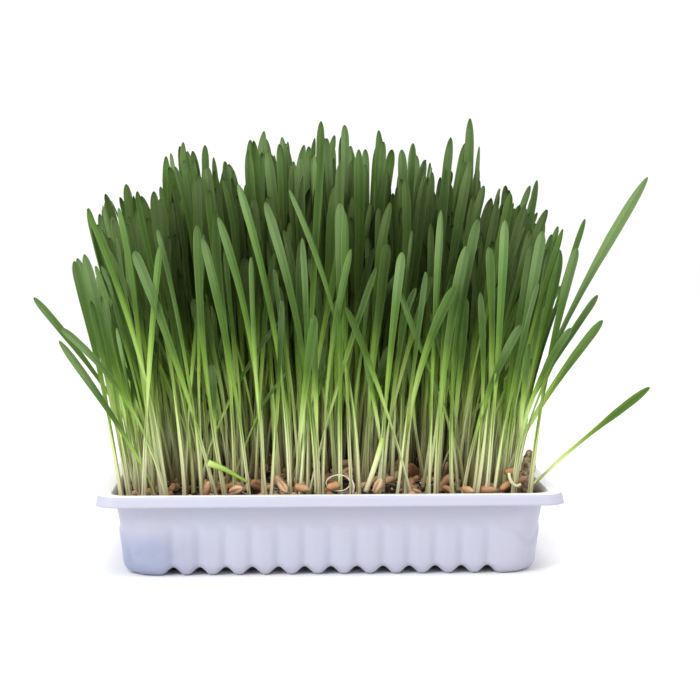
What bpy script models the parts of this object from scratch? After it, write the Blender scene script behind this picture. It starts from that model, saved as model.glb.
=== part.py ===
"""A tray of wheatgrass: a pressed plastic tray, its soil, and shoots that grow from sown grain.

Metres, +Z up. The origin is on the surface that the tray stands on, under the tray's middle,
and the tray's long side runs along X with its front towards -Y.
"""

import math
import random

import bmesh
import bpy
from mathutils import Matrix, Vector

MM = 0.001

# Tray
RIM_LENGTH = 218 * MM
RIM_WIDTH = 148 * MM
TRAY_HEIGHT = 39.4 * MM
SHEET = 0.8 * MM
LIP_DROP = 4.3 * MM
LIP_FLARE = 0.6 * MM
FLANGE_WIDTH = 6 * MM
FLANGE_CHAMFER = 0.9 * MM
DRAFT = math.radians(9.5)
PAD_DRAFT_GAIN = 0.075
RIM_RADIUS = 9.5 * MM
BODY_RADIUS = 15 * MM
FOOT_RADIUS = 12 * MM

# Ribs: pads pressed outwards, with grooves between them that run on under the tray
RIB_PITCH = 12.35 * MM
GROOVE_HALF = 0.8 * MM
RIB_SLOPE = 3.7 * MM
GROOVE_DEPTH = 3.2 * MM
LONG_GROOVES = 13
SHORT_GROOVES = 7
PAD_TOP = 26.5 * MM
PAD_TOP_AT_CORNER = 16 * MM
PAD_SHOULDER = 2.5 * MM
PAD_RISE = 0.9 * MM
FILLET_TOP = 9 * MM
FILLET_MID = 2.6 * MM
FILLET_MID_INSET = 1.8 * MM
FILLET_INSET = 6 * MM
CORNER_STEPS = 4

# Soil
SOIL_GAP = 0.5 * MM
SOIL_BOTTOM = GROOVE_DEPTH + SHEET + 0.4 * MM
SOIL_EDGE_LEVEL = 33.8 * MM
SOIL_CROWN = 9 * MM
SOIL_BUMP = 0.6 * MM
SOIL_CELLS = (10, 7)
SOIL_CORNER_PULL = 3.6 * MM

# Shoots, in clumps that each stand in a plain hole in the soil
CLUMP_COLUMNS = 6
CLUMP_ROWS = 4
CELL_LENGTH = 33 * MM
CELL_WIDTH = 31.5 * MM
ROW_STAGGER = 7.5 * MM

# How many square mm of soil each shoot has, by row from the front
AREA_PER_SHOOT = (104, 84, 78, 76)

CROWN_MARGIN = 2.3 * MM
CROWN_TAPER = 0.3
CROWN_DEPTH = 12 * MM
CROWN_SUNK = 0.8 * MM
HOLE_GAP = 0.35 * MM
HOLE_ABOVE = 4 * MM
ROOT_MARGIN = 4.4 * MM
ROOT_SUNK = 2.5 * MM
BLADE_CLEAR = 3.3 * MM
SHOOT_LENGTH = 179 * MM
LENGTH_SHARES = (0.66, 1.04, 0.97)
SHORTER_AT_ENDS = 0.2
SHORTER_IN_FRONT = 0.07
TALL_SHOOTS = {(4, 2): 177 * MM, (2, 3): 175 * MM, (3, 1): 172 * MM, (1, 2): 170 * MM}
FAN = 0.27
LEAN = 3.5 * MM
ROOM_SHARE = 1.08
TRIES = 10
ROOT_TRIES = 12
FAN_HEIGHT = 150 * MM
LEVELS = (0.0, 0.33, 0.64, 0.94, 1.0)
STEM_WIDTH = 2.2 * MM
STEM_THICKNESS = 1.9 * MM
BLADE_WIDTH = 5.5 * MM
BLADE_THICKNESS = 0.95 * MM
FACING = 1.1
TWIST = 0.6

# The shoots that stand out from the rest: column, row, root and tip in mm, and how far up
# the stem the leaf turns out
STRAY_SHOOTS = (
    (5, 0, (86, -44), (150.5, -50, 187), 0.30),
    (5, 0, (91, -52), (150.5, -60, 88), 0.16),
    (5, 0, (81, -54), (127, -64, 120), 0.30),
    (5, 2, (91, 16), (141, 22, 128), 0.26),
    (0, 0, (-90, -46), (-118, -54, 149), 0.34),
    (0, 0, (-82, -54), (-124, -76, 112), 0.20),
    (0, 2, (-91, 16), (-150.5, 30, 127), 0.28),
    (2, 0, (-16, -54), (-8, -86, 122), 0.34),
    (3, 3, (14, 56), (20, 86, 164), 0.34),
)

# Grain
GRAIN_HALF = Vector((3.4, 1.8, 1.7)) * MM
GRAINS_ON_SOIL = 18
GRAINS_ON_CROWN = (3, 1, 1, 1)
GRAIN_MARGIN = 6.5 * MM
GRAIN_PROUD = 0.4 * MM

HALF_LENGTH = RIM_LENGTH / 2 - SHEET
HALF_WIDTH = RIM_WIDTH / 2 - SHEET
FLANGE_UNDER = TRAY_HEIGHT - SHEET


def clear_scene():
    for old in list(bpy.data.objects):
        bpy.data.objects.remove(old)


def new_material(name, colour, roughness):
    material = bpy.data.materials.new(name)
    material.use_nodes = True
    shader = material.node_tree.nodes["Principled BSDF"]
    shader.inputs["Base Color"].default_value = (*colour, 1)
    shader.inputs["Roughness"].default_value = roughness
    shader.inputs["Metallic"].default_value = 0
    return material


def object_from(bm, name, collection, material):
    """Ends the bmesh and links its mesh as a named object."""
    mesh = bpy.data.meshes.new(name)
    bm.to_mesh(mesh)
    bm.free()
    mesh.materials.append(material)
    made = bpy.data.objects.new(name, mesh)
    collection.objects.link(made)
    return made


def apply_modifiers(target):
    """Makes the evaluated mesh the object's own, and drops its modifiers."""
    bpy.context.view_layer.update()
    graph = bpy.context.evaluated_depsgraph_get()
    mesh = bpy.data.meshes.new_from_object(target.evaluated_get(graph))
    old = target.data
    target.modifiers.clear()
    target.data = mesh
    bpy.data.meshes.remove(old)


def keep_largest_shell(target):
    """Fills the hollows that fusing sealed and drops loose scraps, by keeping the one outer shell."""
    bm = bmesh.new()
    bm.from_mesh(target.data)
    left = set(bm.faces)
    shells = []
    while left:
        shell, edge_of_shell = set(), [left.pop()]
        while edge_of_shell:
            face = edge_of_shell.pop()
            shell.add(face)
            linked = {f for e in face.edges for f in e.link_faces} & left
            left -= linked
            edge_of_shell += linked
        shells.append(shell)
    shells.sort(key=len)
    inner = [face for shell in shells[:-1] for face in shell]
    bmesh.ops.delete(bm, geom=inner, context="FACES")
    bm.to_mesh(target.data)
    bm.free()


def boolean_with(target, operation, helpers):
    """Joins a collection's objects to the target, or cuts them from it, and removes them."""
    cut = target.modifiers.new(operation.title(), "BOOLEAN")
    cut.operation = operation
    cut.solver = "MANIFOLD"
    cut.operand_type = "COLLECTION"
    cut.collection = helpers
    apply_modifiers(target)
    keep_largest_shell(target)
    for helper in list(helpers.objects):
        bpy.data.objects.remove(helper)
    bpy.data.collections.remove(helpers)


def helper_collection(name):
    made = bpy.data.collections.new(name)
    bpy.context.scene.collection.children.link(made)
    return made


# Tray


def side_stations(grooves):
    """The points along one side, as (place, whether it is in a groove)."""
    stations = []
    for i in range(grooves):
        middle = (i - (grooves - 1) / 2) * RIB_PITCH
        pad_edge = GROOVE_HALF + RIB_SLOPE
        for offset, in_groove in (
            (-pad_edge, False),
            (-GROOVE_HALF, True),
            (GROOVE_HALF, True),
            (pad_edge, False),
        ):
            stations.append((middle + offset, in_groove))
    return stations


def rounded_ring(inset, radius, bulge=0.0, level=None, groove_level=None, corner_level=None, plain=False):
    """One ring round the tray, anticlockwise from above, from the front side's left end.

    Pads stand out by bulge from the wall's own plane, and grooves lie on that plane.
    """
    half = (HALF_LENGTH - inset, HALF_WIDTH - inset)
    if groove_level is None:
        groove_level = level
    if corner_level is None:
        corner_level = level
    points = []
    for side in range(4):
        turn = side * math.pi / 2
        along, out = (half[0], half[1]) if side % 2 == 0 else (half[1], half[0])
        if not plain:
            for place, in_groove in side_stations(LONG_GROOVES if side % 2 == 0 else SHORT_GROOVES):
                push = 0.0 if in_groove else bulge
                height = groove_level if in_groove and side % 2 == 0 else level
                points.append(turned(place, -(out + push), height, turn))
        for step in range(CORNER_STEPS + 1):
            angle = step / CORNER_STEPS * math.pi / 2
            dip = math.sin(angle * 2) ** 2
            height = level + (corner_level - level) * dip
            points.append(
                turned(
                    along - radius + (radius + bulge) * math.sin(angle),
                    -(out - radius) - (radius + bulge) * math.cos(angle),
                    height,
                    turn,
                )
            )
    return points


def turned(x, y, z, turn):
    return Vector((x * math.cos(turn) - y * math.sin(turn), x * math.sin(turn) + y * math.cos(turn), z))


def wall_inset(level):
    """How far the wall's own plane is inside the rim's edge, at a height."""
    return FLANGE_WIDTH + math.tan(DRAFT) * (FLANGE_UNDER - level)


def pad_bulge(level):
    """How far the pads stand out from the wall, more towards the foot."""
    return PAD_RISE + PAD_DRAFT_GAIN * (PAD_TOP - level)


def add_ring(bm, points):
    return [bm.verts.new(p) for p in points]


def add_band(bm, upper, lower):
    count = len(upper)
    for i in range(count):
        j = (i + 1) % count
        bm.faces.new((lower[i], lower[j], upper[j], upper[i]))


def add_plain_wall(bm, plain, ribbed):
    """The flat wall between a ring of corner points only and a ring with the ribs' points too."""
    corner = CORNER_STEPS + 1
    start = 0
    for side in range(4):
        stations = 4 * (LONG_GROOVES if side % 2 == 0 else SHORT_GROOVES)
        first, before = side * corner, (side * corner - 1) % len(plain)
        along = [ribbed[start + i] for i in range(-1, stations + 1)]
        bm.faces.new((*along, plain[first], plain[before]))
        for i in range(CORNER_STEPS):
            low = start + stations + i
            high = first + i
            bm.faces.new((ribbed[low], ribbed[low + 1], plain[high + 1], plain[high]))
        start += stations + corner


def add_floor(bm, ring):
    """The ribbed floor: strips from the front side to the back, and a flat piece at each end."""
    corner = CORNER_STEPS + 1
    long_points, short_points = 4 * LONG_GROOVES, 4 * SHORT_GROOVES
    back_start = long_points + corner + short_points + corner
    front = ring[:long_points]
    back = ring[back_start : back_start + long_points][::-1]
    for i in range(long_points - 1):
        bm.faces.new((front[i], back[i], back[i + 1], front[i + 1]))
    right = ring[long_points - 1 : back_start + 1]
    bm.faces.new(right[::-1])
    left = ring[back_start + long_points - 1 :] + [ring[0]]
    bm.faces.new(left[::-1])


def make_tray(collection, material):
    bm = bmesh.new()
    rim_rings = [
        (-LIP_FLARE, FLANGE_UNDER - LIP_DROP),
        (0.0, FLANGE_UNDER - FLANGE_CHAMFER),
        (FLANGE_CHAMFER, FLANGE_UNDER),
        (FLANGE_WIDTH, FLANGE_UNDER),
    ]
    plain = [
        add_ring(bm, rounded_ring(inset, RIM_RADIUS - max(inset, 0) / 3, level=level, plain=True))
        for inset, level in rim_rings
    ]
    for outer, inner in zip(plain, plain[1:]):
        add_band(bm, outer, inner)

    shoulder = PAD_TOP - PAD_SHOULDER
    foot = wall_inset(FILLET_TOP)
    foot_bulge = pad_bulge(FILLET_TOP)
    ribbed = [
        rounded_ring(wall_inset(PAD_TOP), BODY_RADIUS, level=PAD_TOP, corner_level=PAD_TOP_AT_CORNER),
        rounded_ring(
            wall_inset(shoulder),
            BODY_RADIUS,
            bulge=pad_bulge(shoulder),
            level=shoulder,
            corner_level=PAD_TOP_AT_CORNER - PAD_SHOULDER,
        ),
        rounded_ring(foot, BODY_RADIUS, bulge=foot_bulge, level=FILLET_TOP),
        rounded_ring(
            foot + FILLET_MID_INSET,
            BODY_RADIUS - FILLET_MID_INSET,
            bulge=foot_bulge,
            level=FILLET_MID,
            groove_level=FILLET_MID + GROOVE_DEPTH * 0.8,
        ),
        rounded_ring(
            foot + FILLET_INSET, FOOT_RADIUS, bulge=foot_bulge, level=0.0, groove_level=GROOVE_DEPTH
        ),
    ]
    for points in (ribbed[0], ribbed[1]):
        keep_on_wall(points)
    rings = [add_ring(bm, points) for points in ribbed]
    add_plain_wall(bm, plain[-1], rings[0])
    for upper, lower in zip(rings, rings[1:]):
        add_band(bm, upper, lower)
    add_floor(bm, rings[-1])
    tray = object_from(bm, "tray", collection, material)
    sheet = tray.modifiers.new("Sheet", "SOLIDIFY")
    sheet.thickness = SHEET
    sheet.offset = -1
    sheet.use_even_offset = True
    sheet.use_quality_normals = True
    return tray


def keep_on_wall(points):
    """Draws a ring's corner points in where they dip, so that they follow the wall's slope."""
    highest = max(p.z for p in points)
    for p in points:
        drawn_in = math.tan(DRAFT) * (highest - p.z)
        if drawn_in > 0:
            p.x -= math.copysign(drawn_in * math.sqrt(0.5), p.x)
            p.y -= math.copysign(drawn_in * math.sqrt(0.5), p.y)


# Soil


def soil_half(level):
    """Half the soil's length and width at a height, just inside the grooves."""
    inset = wall_inset(level) + SHEET + SOIL_GAP
    return HALF_LENGTH - inset, HALF_WIDTH - inset


def soil_level(x, y):
    """The soil's surface: a little higher in the middle, with soft lumps."""
    half_length, half_width = soil_half(SOIL_EDGE_LEVEL)
    crown = max(0.0, 1 - (x / half_length) ** 2) * max(0.0, 1 - (y / half_width) ** 2)
    lumps = math.sin(x / (7.3 * MM) + 1.2) * math.cos(y / (6.1 * MM)) + math.sin((x + y) / (4.7 * MM))
    return SOIL_EDGE_LEVEL + SOIL_CROWN * crown + SOIL_BUMP * lumps * 0.5


def make_soil(collection, material, grain_material, rng):
    bm = bmesh.new()
    bmesh.ops.create_grid(bm, x_segments=SOIL_CELLS[0], y_segments=SOIL_CELLS[1], size=1)
    top_half, foot_half = soil_half(SOIL_EDGE_LEVEL), soil_half(SOIL_BOTTOM)
    foot_corner = (foot_half[0] - FILLET_INSET, foot_half[1] - FILLET_INSET)
    for v in bm.verts:
        at_corner = abs(v.co.x) > 0.999 and abs(v.co.y) > 0.999
        pull = SOIL_CORNER_PULL if at_corner else 0.0
        v.co.x *= top_half[0] - pull
        v.co.y *= top_half[1] - pull
        v.co.z = soil_level(v.co.x, v.co.y)
    edges = [e for e in bm.edges if e.is_boundary]
    skirt = bmesh.ops.extrude_edge_only(bm, edges=edges)["geom"]
    below = [v for v in skirt if isinstance(v, bmesh.types.BMVert)]
    for v in below:
        v.co.x *= foot_corner[0] / top_half[0]
        v.co.y *= foot_corner[1] / top_half[1]
        v.co.z = SOIL_BOTTOM
    bottom_edges = [e for e in bm.edges if e.is_boundary]
    bmesh.ops.holes_fill(bm, edges=bottom_edges, sides=len(bottom_edges))
    bmesh.ops.recalc_face_normals(bm, faces=bm.faces)
    soil = object_from(bm, "soil", collection, material)
    soil.data.materials.append(grain_material)
    grains = helper_collection("soil grains")
    for spot, turn in grain_spots(rng):
        make_grain(grains, Vector((*spot, soil_level(*spot))), turn, grain_material)
    boolean_with(soil, "UNION", grains)
    holes = helper_collection("holes")
    for cell in clump_cells().values():
        make_crown("hole", holes, cell, material, grow=HOLE_GAP, above=HOLE_ABOVE)
    boolean_with(soil, "DIFFERENCE", holes)
    return soil


def grain_spots(rng):
    """Loose grains lying along the walls of soil between the clumps, as (place, turn)."""
    cells = list(clump_cells().values())
    half_length, half_width = soil_half(SOIL_EDGE_LEVEL)
    reach = GRAIN_HALF.x + CROWN_MARGIN
    spots = []
    while len(spots) < GRAINS_ON_SOIL:
        middle, half = rng.choice(cells)
        along = rng.uniform(-1, 1)
        side = rng.choice((-1, 1))
        if rng.random() < 0.5:
            spot, turn = middle + Vector((side * half.x, along * (half.y - reach))), math.pi / 2
        else:
            spot, turn = middle + Vector((along * (half.x - reach), side * half.y)), 0.0
        inside = abs(spot.x) < half_length - reach and abs(spot.y) < half_width - reach
        apart = min(((spot - other).length for other, _ in spots), default=1.0)
        if inside and apart > 2.2 * GRAIN_HALF.x:
            spots.append((spot, turn))
    return spots


def make_grain(collection, centre, turn, material):
    """A swollen wheat grain: an ellipsoid that lies half sunk."""
    bm = bmesh.new()
    bmesh.ops.create_icosphere(bm, subdivisions=1, radius=1)
    lie = Matrix.Rotation(turn, 4, "Z")
    bm.transform(Matrix.Translation(centre) @ lie @ Matrix.Diagonal((*GRAIN_HALF, 1)))
    return object_from(bm, "grain", collection, material)


# Shoots


def cell_edges(row):
    """Where one row's clumps part, from left to right. Rows are staggered, so no gap runs through."""
    shift = ROW_STAGGER if row % 2 else -ROW_STAGGER
    inner = [(i - CLUMP_COLUMNS / 2) * CELL_LENGTH + shift for i in range(1, CLUMP_COLUMNS)]
    end = CLUMP_COLUMNS * CELL_LENGTH / 2
    return [-end, *inner, end]


def clump_cells():
    """Each clump's share of the soil, as (middle, half size), by (column, row) from the front left."""
    cells = {}
    for row in range(CLUMP_ROWS):
        edges = cell_edges(row)
        for column, (left, right) in enumerate(zip(edges, edges[1:])):
            middle = Vector(((left + right) / 2, (row - (CLUMP_ROWS - 1) / 2) * CELL_WIDTH))
            cells[column, row] = middle, Vector(((right - left) / 2, CELL_WIDTH / 2))
    return cells


def crown_level(x, y):
    """The top of the matted roots, which follows the soil."""
    return soil_level(x, y) - CROWN_SUNK


def make_crown(name, collection, cell, material, grow=0.0, above=0.0):
    """The matted roots that hold a clump together, or with grow the hole that they stand in."""
    middle, half = cell
    foot = crown_level(*middle) - CROWN_DEPTH - grow
    bm = bmesh.new()
    bmesh.ops.create_cube(bm, size=2)
    for v in bm.verts:
        corner = middle + Vector((v.co.x * (half.x - CROWN_MARGIN), v.co.y * (half.y - CROWN_MARGIN)))
        top = crown_level(*corner)
        height = foot if v.co.z < 0 else top + above
        inset = CROWN_MARGIN - grow + CROWN_TAPER * (top - height)
        v.co.x = middle.x + v.co.x * (half.x - inset)
        v.co.y = middle.y + v.co.y * (half.y - inset)
        v.co.z = height
    return object_from(bm, name, collection, material)


def root_spots(cell, row, rng):
    """Where a clump's shoots come up: spread at random over its crown, but well apart."""
    middle, half = cell
    reach = half - Vector((ROOT_MARGIN, ROOT_MARGIN))
    count = round(4 * half.x * half.y / (AREA_PER_SHOOT[row] * MM * MM))
    spots = []
    for _ in range(count):
        tries = [
            Vector((rng.uniform(-1, 1) * reach.x, rng.uniform(-1, 1) * reach.y)) for _ in range(ROOT_TRIES)
        ]
        spots.append(max(tries, key=lambda t: min(((t - s).length for s in spots), default=1.0)))
    return spots


def shoot_length(x, y, rng):
    """Longer in the middle and at the back, shorter at the ends and in front."""
    across = abs(x) / (CLUMP_COLUMNS * CELL_LENGTH / 2)
    depth = y / (CLUMP_ROWS * CELL_WIDTH / 2)
    at_end = max(0.0, across - 0.55) / 0.45
    share = (1 - SHORTER_AT_ENDS * at_end * at_end * (3 - 2 * at_end)) * (1 - SHORTER_IN_FRONT * (1 - depth))
    return SHOOT_LENGTH * share * rng.triangular(*LENGTH_SHARES)


def spine_of(cell, offset, length, rng):
    """A shoot's middle line: straight up from its root, then fanned out with its neighbours.

    It stays inside its clump's own share of the sward at every height.
    """
    middle, half = cell
    room = half - Vector((BLADE_CLEAR, BLADE_CLEAR))
    spread = offset * ROOM_SHARE + Vector((rng.gauss(0, LEAN), rng.gauss(0, LEAN)))
    end = Vector((max(-room.x, min(room.x, spread.x)), max(-room.y, min(room.y, spread.y))))
    base = crown_level(*(middle + offset)) - ROOT_SUNK
    bend = rng.uniform(1.1, 1.9)
    spine = []
    for level in LEVELS:
        at = middle + offset.lerp(end, level**bend)
        fan = 1 + FAN * ((length + ROOT_SUNK) * level / FAN_HEIGHT) ** 1.35
        spine.append(Vector((at.x * fan, at.y * fan, base + (length + ROOT_SUNK) * level)))
    return spine


def at_height(spine, height):
    """Where a middle line passes a height, or None above its tip."""
    for lower, upper in zip(spine, spine[1:]):
        if lower.z <= height <= upper.z:
            return lower.lerp(upper, (height - lower.z) / (upper.z - lower.z))
    return None


def clearance(spine, others):
    """The least distance from a middle line to the others, point by point at equal height."""
    least = 1.0
    for other in others:
        for point in spine[1:]:
            passed = at_height(other, point.z)
            if passed:
                least = min(least, math.dist(point.xy, passed.xy))
    return least


def spines_of(place, cell, rng):
    """A clump's middle lines, each the clearest of several tries, so that few blades cross."""
    middle = cell[0]
    spines = []
    for i, offset in enumerate(root_spots(cell, place[1], rng)):
        length = shoot_length(middle.x + offset.x, middle.y + offset.y, rng)
        if i == 0:
            length = TALL_SHOOTS.get(place, length)
        tries = [spine_of(cell, offset, length, rng) for _ in range(TRIES)]
        spines.append(max(tries, key=lambda spine: clearance(spine, spines)))
    return spines


def stray_spine(root, tip, turn_out):
    """A stray shoot's middle line: a curve that rises from the root and turns out to its tip."""
    base = Vector((root[0] * MM, root[1] * MM, crown_level(root[0] * MM, root[1] * MM) - ROOT_SUNK))
    end = Vector(tip) * MM
    knee = Vector((base.x, base.y, base.z + (end.z - base.z) * turn_out)) + (end - base) * 0.06
    return [base * (1 - t) ** 2 + knee * (2 * t * (1 - t)) + end * t**2 for t in LEVELS]


def blade_section(level):
    """Width and thickness of a shoot at a share of its length."""
    opened = min(1.0, max(0.0, (level - 0.2) / 0.7))
    opened = opened * opened * (3 - 2 * opened)
    width = STEM_WIDTH + (BLADE_WIDTH - STEM_WIDTH) * opened
    thickness = STEM_THICKNESS + (BLADE_THICKNESS - STEM_THICKNESS) * opened
    return width, thickness


def make_blade(collection, spine, facing, twist, scale, material):
    """A keeled blade: three-sided sections along the spine, closed at the root, with a point."""
    bm = bmesh.new()
    rings = []
    for i, level in enumerate(LEVELS[:-1]):
        along = (spine[i + 1] - spine[max(i - 1, 0)]).normalized()
        angle = facing + twist * level
        side = Vector((math.cos(angle), math.sin(angle), 0))
        side = (side - along * side.dot(along)).normalized()
        keel = along.cross(side)
        width, thickness = blade_section(level)
        width *= scale
        corners = (
            spine[i] - side * width / 2,
            spine[i] + side * width / 2,
            spine[i] + keel * thickness,
        )
        rings.append([bm.verts.new(c) for c in corners])
    for lower, upper in zip(rings, rings[1:]):
        for a in range(3):
            b = (a + 1) % 3
            bm.faces.new((lower[a], lower[b], upper[b], upper[a]))
    tip = bm.verts.new(spine[-1])
    for a in range(3):
        bm.faces.new((rings[-1][a], rings[-1][(a + 1) % 3], tip))
    bm.faces.new(rings[0][::-1])
    return object_from(bm, "blade", collection, material)


def make_clump(place, cell, collection, materials, rng):
    """A clump of shoots, joined by the matted roots and grain that they grow from."""
    leaf, root, grain = materials
    column, row = place
    clump = make_crown(f"shoots_row{row + 1}_column{column + 1}", collection, cell, root)
    clump.data.materials.append(leaf)
    clump.data.materials.append(grain)
    joined = helper_collection("joined")
    for spine in spines_of(place, cell, rng):
        facing = rng.uniform(-FACING, FACING)
        twist = rng.uniform(-TWIST, TWIST)
        make_blade(joined, spine, facing, twist, rng.uniform(0.85, 1.08), leaf)
    for stray_column, stray_row, base, tip, turn_out in STRAY_SHOOTS:
        if (stray_column, stray_row) == place:
            spine = stray_spine(base, tip, turn_out)
            make_blade(joined, spine, rng.uniform(-0.5, 0.5), 0.5, 1.0, leaf)
    for _ in range(GRAINS_ON_CROWN[row]):
        reach = cell[1] - Vector((GRAIN_MARGIN, GRAIN_MARGIN))
        spot = cell[0] + Vector((rng.uniform(-1, 1) * reach.x, rng.uniform(-1, 1) * reach.y))
        make_grain(joined, Vector((*spot, crown_level(*spot) + GRAIN_PROUD)), rng.uniform(0, math.pi), grain)
    boolean_with(clump, "UNION", joined)
    return clump


def main():
    clear_scene()
    collection = bpy.data.collections.new("wheatgrass tray")
    bpy.context.scene.collection.children.link(collection)
    plastic = new_material("white plastic", (0.78, 0.79, 0.86), 0.4)
    earth = new_material("potting soil", (0.055, 0.032, 0.02), 0.95)
    grain = new_material("wheat grain", (0.5, 0.27, 0.12), 0.6)
    root = new_material("matted roots", (0.3, 0.2, 0.12), 0.9)
    leaf = new_material("wheatgrass", (0.13, 0.3, 0.06), 0.5)
    make_tray(collection, plastic)
    make_soil(collection, earth, grain, random.Random(7))
    rng = random.Random(21)
    for place, cell in clump_cells().items():
        make_clump(place, cell, collection, (leaf, root, grain), rng)


main()
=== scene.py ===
"""A tray of wheatgrass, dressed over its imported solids. Metres, +Z up, the tray's front towards -Y."""

import math
import random

import bmesh
import bpy
import numpy as np
from mathutils import Matrix, Vector, noise


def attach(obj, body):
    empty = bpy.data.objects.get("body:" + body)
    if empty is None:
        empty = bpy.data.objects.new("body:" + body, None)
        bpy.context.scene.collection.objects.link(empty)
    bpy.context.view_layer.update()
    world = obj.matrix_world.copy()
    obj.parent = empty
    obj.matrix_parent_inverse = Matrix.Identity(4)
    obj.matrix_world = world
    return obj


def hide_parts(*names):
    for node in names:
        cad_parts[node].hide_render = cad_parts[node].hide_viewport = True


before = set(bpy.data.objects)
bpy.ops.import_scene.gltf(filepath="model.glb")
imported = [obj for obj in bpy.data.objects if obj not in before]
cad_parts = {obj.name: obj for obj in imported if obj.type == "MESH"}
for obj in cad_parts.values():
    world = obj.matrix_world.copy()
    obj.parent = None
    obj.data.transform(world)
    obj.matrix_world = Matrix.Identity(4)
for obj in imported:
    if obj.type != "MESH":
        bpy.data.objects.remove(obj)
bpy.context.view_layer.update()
MM = 0.001

# The photograph's camera
IMAGE = 700
FOCAL_PIXELS = 1681
CAMERA_DISTANCE = 843 * MM
CAMERA_HEIGHT = 165.4 * MM
CAMERA_YAW = math.radians(2.4)
CAMERA_PITCH = math.radians(4.33)
MIDDLE_X_PIXEL = 327

# Area lights: name, place, size and power in watts; the light all round; and what the lights point at
LIGHTS = (("key", (-0.95, -1.05, 0.9), 0.45, 11), ("top", (0.1, -0.3, 1.5), 0.9, 11))
WORLD_STRENGTH = 1.04
LIT_POINT = Vector((0, 0, 0.08))
FLOOR_HALF = 6

# The tray, as the solid has it
RIM_LENGTH = 218 * MM
RIM_WIDTH = 148 * MM
TRAY_HEIGHT = 39.4 * MM
SHEET = 0.8 * MM
LIP_DROP = 4.3 * MM
LIP_FLARE = 0.6 * MM
FLANGE_WIDTH = 6 * MM
FLANGE_CHAMFER = 0.9 * MM
DRAFT = math.radians(9.5)
PAD_DRAFT_GAIN = 0.075
RIM_RADIUS = 9.5 * MM
BODY_RADIUS = 15 * MM
RIB_PITCH = 12.35 * MM
GROOVE_HALF = 0.8 * MM
RIB_SLOPE = 3.7 * MM
GROOVE_DEPTH = 3.2 * MM
LONG_GROOVES = 13
SHORT_GROOVES = 7
PAD_TOP = 26.5 * MM
PAD_TOP_AT_CORNER = 16 * MM
PAD_RISE = 0.9 * MM
FILLET_TOP = 9 * MM
FILLET_INSET = 6 * MM
HALF_LENGTH = RIM_LENGTH / 2 - SHEET
HALF_WIDTH = RIM_WIDTH / 2 - SHEET
FLANGE_UNDER = TRAY_HEIGHT - SHEET
FILLET_CURVE = ((0.0, FILLET_TOP), (0.0, 3.6 * MM), (1.4 * MM, 0.0), (FILLET_INSET, 0.0))
STEPS_PER_RIB = 16
CORNER_STEPS = 20
FLANGE_BEND = 1.2 * MM
BEND_DROP = 1.4 * MM
BAND_STEPS = 4
WALL_STEPS = 24
FILLET_STEPS = 14
RISE_GAIN = 1.15
ARCH_REACH = 9 * MM
NOTCH_REACH = 1.6 * MM
SOFTER_RIBS = 0.72
LOBE_ROUND = 1.25
LOBE_GAIN = 1.5
PAD_FULLNESS = 0.7
SOFT_SHOULDER = 4.5 * MM

# The soil, as the solid has it
SOIL_GAP = 0.5 * MM
SOIL_EDGE_LEVEL = 33.8 * MM
SOIL_CROWN = 9 * MM
SOIL_BUMP = 0.6 * MM
SOIL_GRID = (300, 200)
SOIL_LUMPS = ((190, 1.1 * MM, Vector((0, 0, 0))), (460, 0.7 * MM, Vector((5, 0, 0))))
SOIL_FLOOR = 12 * MM

# The shoots, as the solids have them
CLUMP_COLUMNS = 6
CLUMP_ROWS = 4
CELL_LENGTH = 33 * MM
CELL_WIDTH = 31.5 * MM
ROW_STAGGER = 7.5 * MM
SWARD_HALF = Vector((CLUMP_COLUMNS * CELL_LENGTH, CLUMP_ROWS * CELL_WIDTH)) / 2
AREA_PER_SHOOT = (104, 84, 78, 76)
CROWN_SUNK = 0.8 * MM
ROOT_MARGIN = 4.4 * MM
ROOT_SUNK = 2.5 * MM
BLADE_CLEAR = 3.3 * MM
SHOOT_LENGTH = 179 * MM
LENGTH_SHARES = (0.66, 1.04, 0.97)
SHORTER_AT_ENDS = 0.2
SHORTER_IN_FRONT = 0.07
TALL_SHOOTS = {(4, 2): 177 * MM, (2, 3): 175 * MM, (3, 1): 172 * MM, (1, 2): 170 * MM}
FAN = 0.27
LEAN = 3.5 * MM
ROOM_SHARE = 1.08
TRIES = 10
ROOT_TRIES = 12
FAN_HEIGHT = 150 * MM
LEVELS = (0.0, 0.33, 0.64, 0.94, 1.0)
FACING = 1.1
TWIST = 0.6
GRAINS_ON_CROWN = (3, 1, 1, 1)
GRAIN_MARGIN = 6.5 * MM
GRAIN_HALF = Vector((3.4, 1.8, 1.7)) * MM
STRAY_SHOOTS = (
    (5, 0, (86, -44), (150.5, -50, 187), 0.30),
    (5, 0, (91, -52), (150.5, -60, 88), 0.16),
    (5, 0, (81, -54), (127, -64, 120), 0.30),
    (5, 2, (91, 16), (141, 22, 128), 0.26),
    (0, 0, (-90, -46), (-118, -54, 149), 0.34),
    (0, 0, (-82, -54), (-124, -76, 112), 0.20),
    (0, 2, (-91, 16), (-150.5, 30, 127), 0.28),
    (2, 0, (-16, -54), (-8, -86, 122), 0.34),
    (3, 3, (14, 56), (20, 86, 164), 0.34),
)

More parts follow.
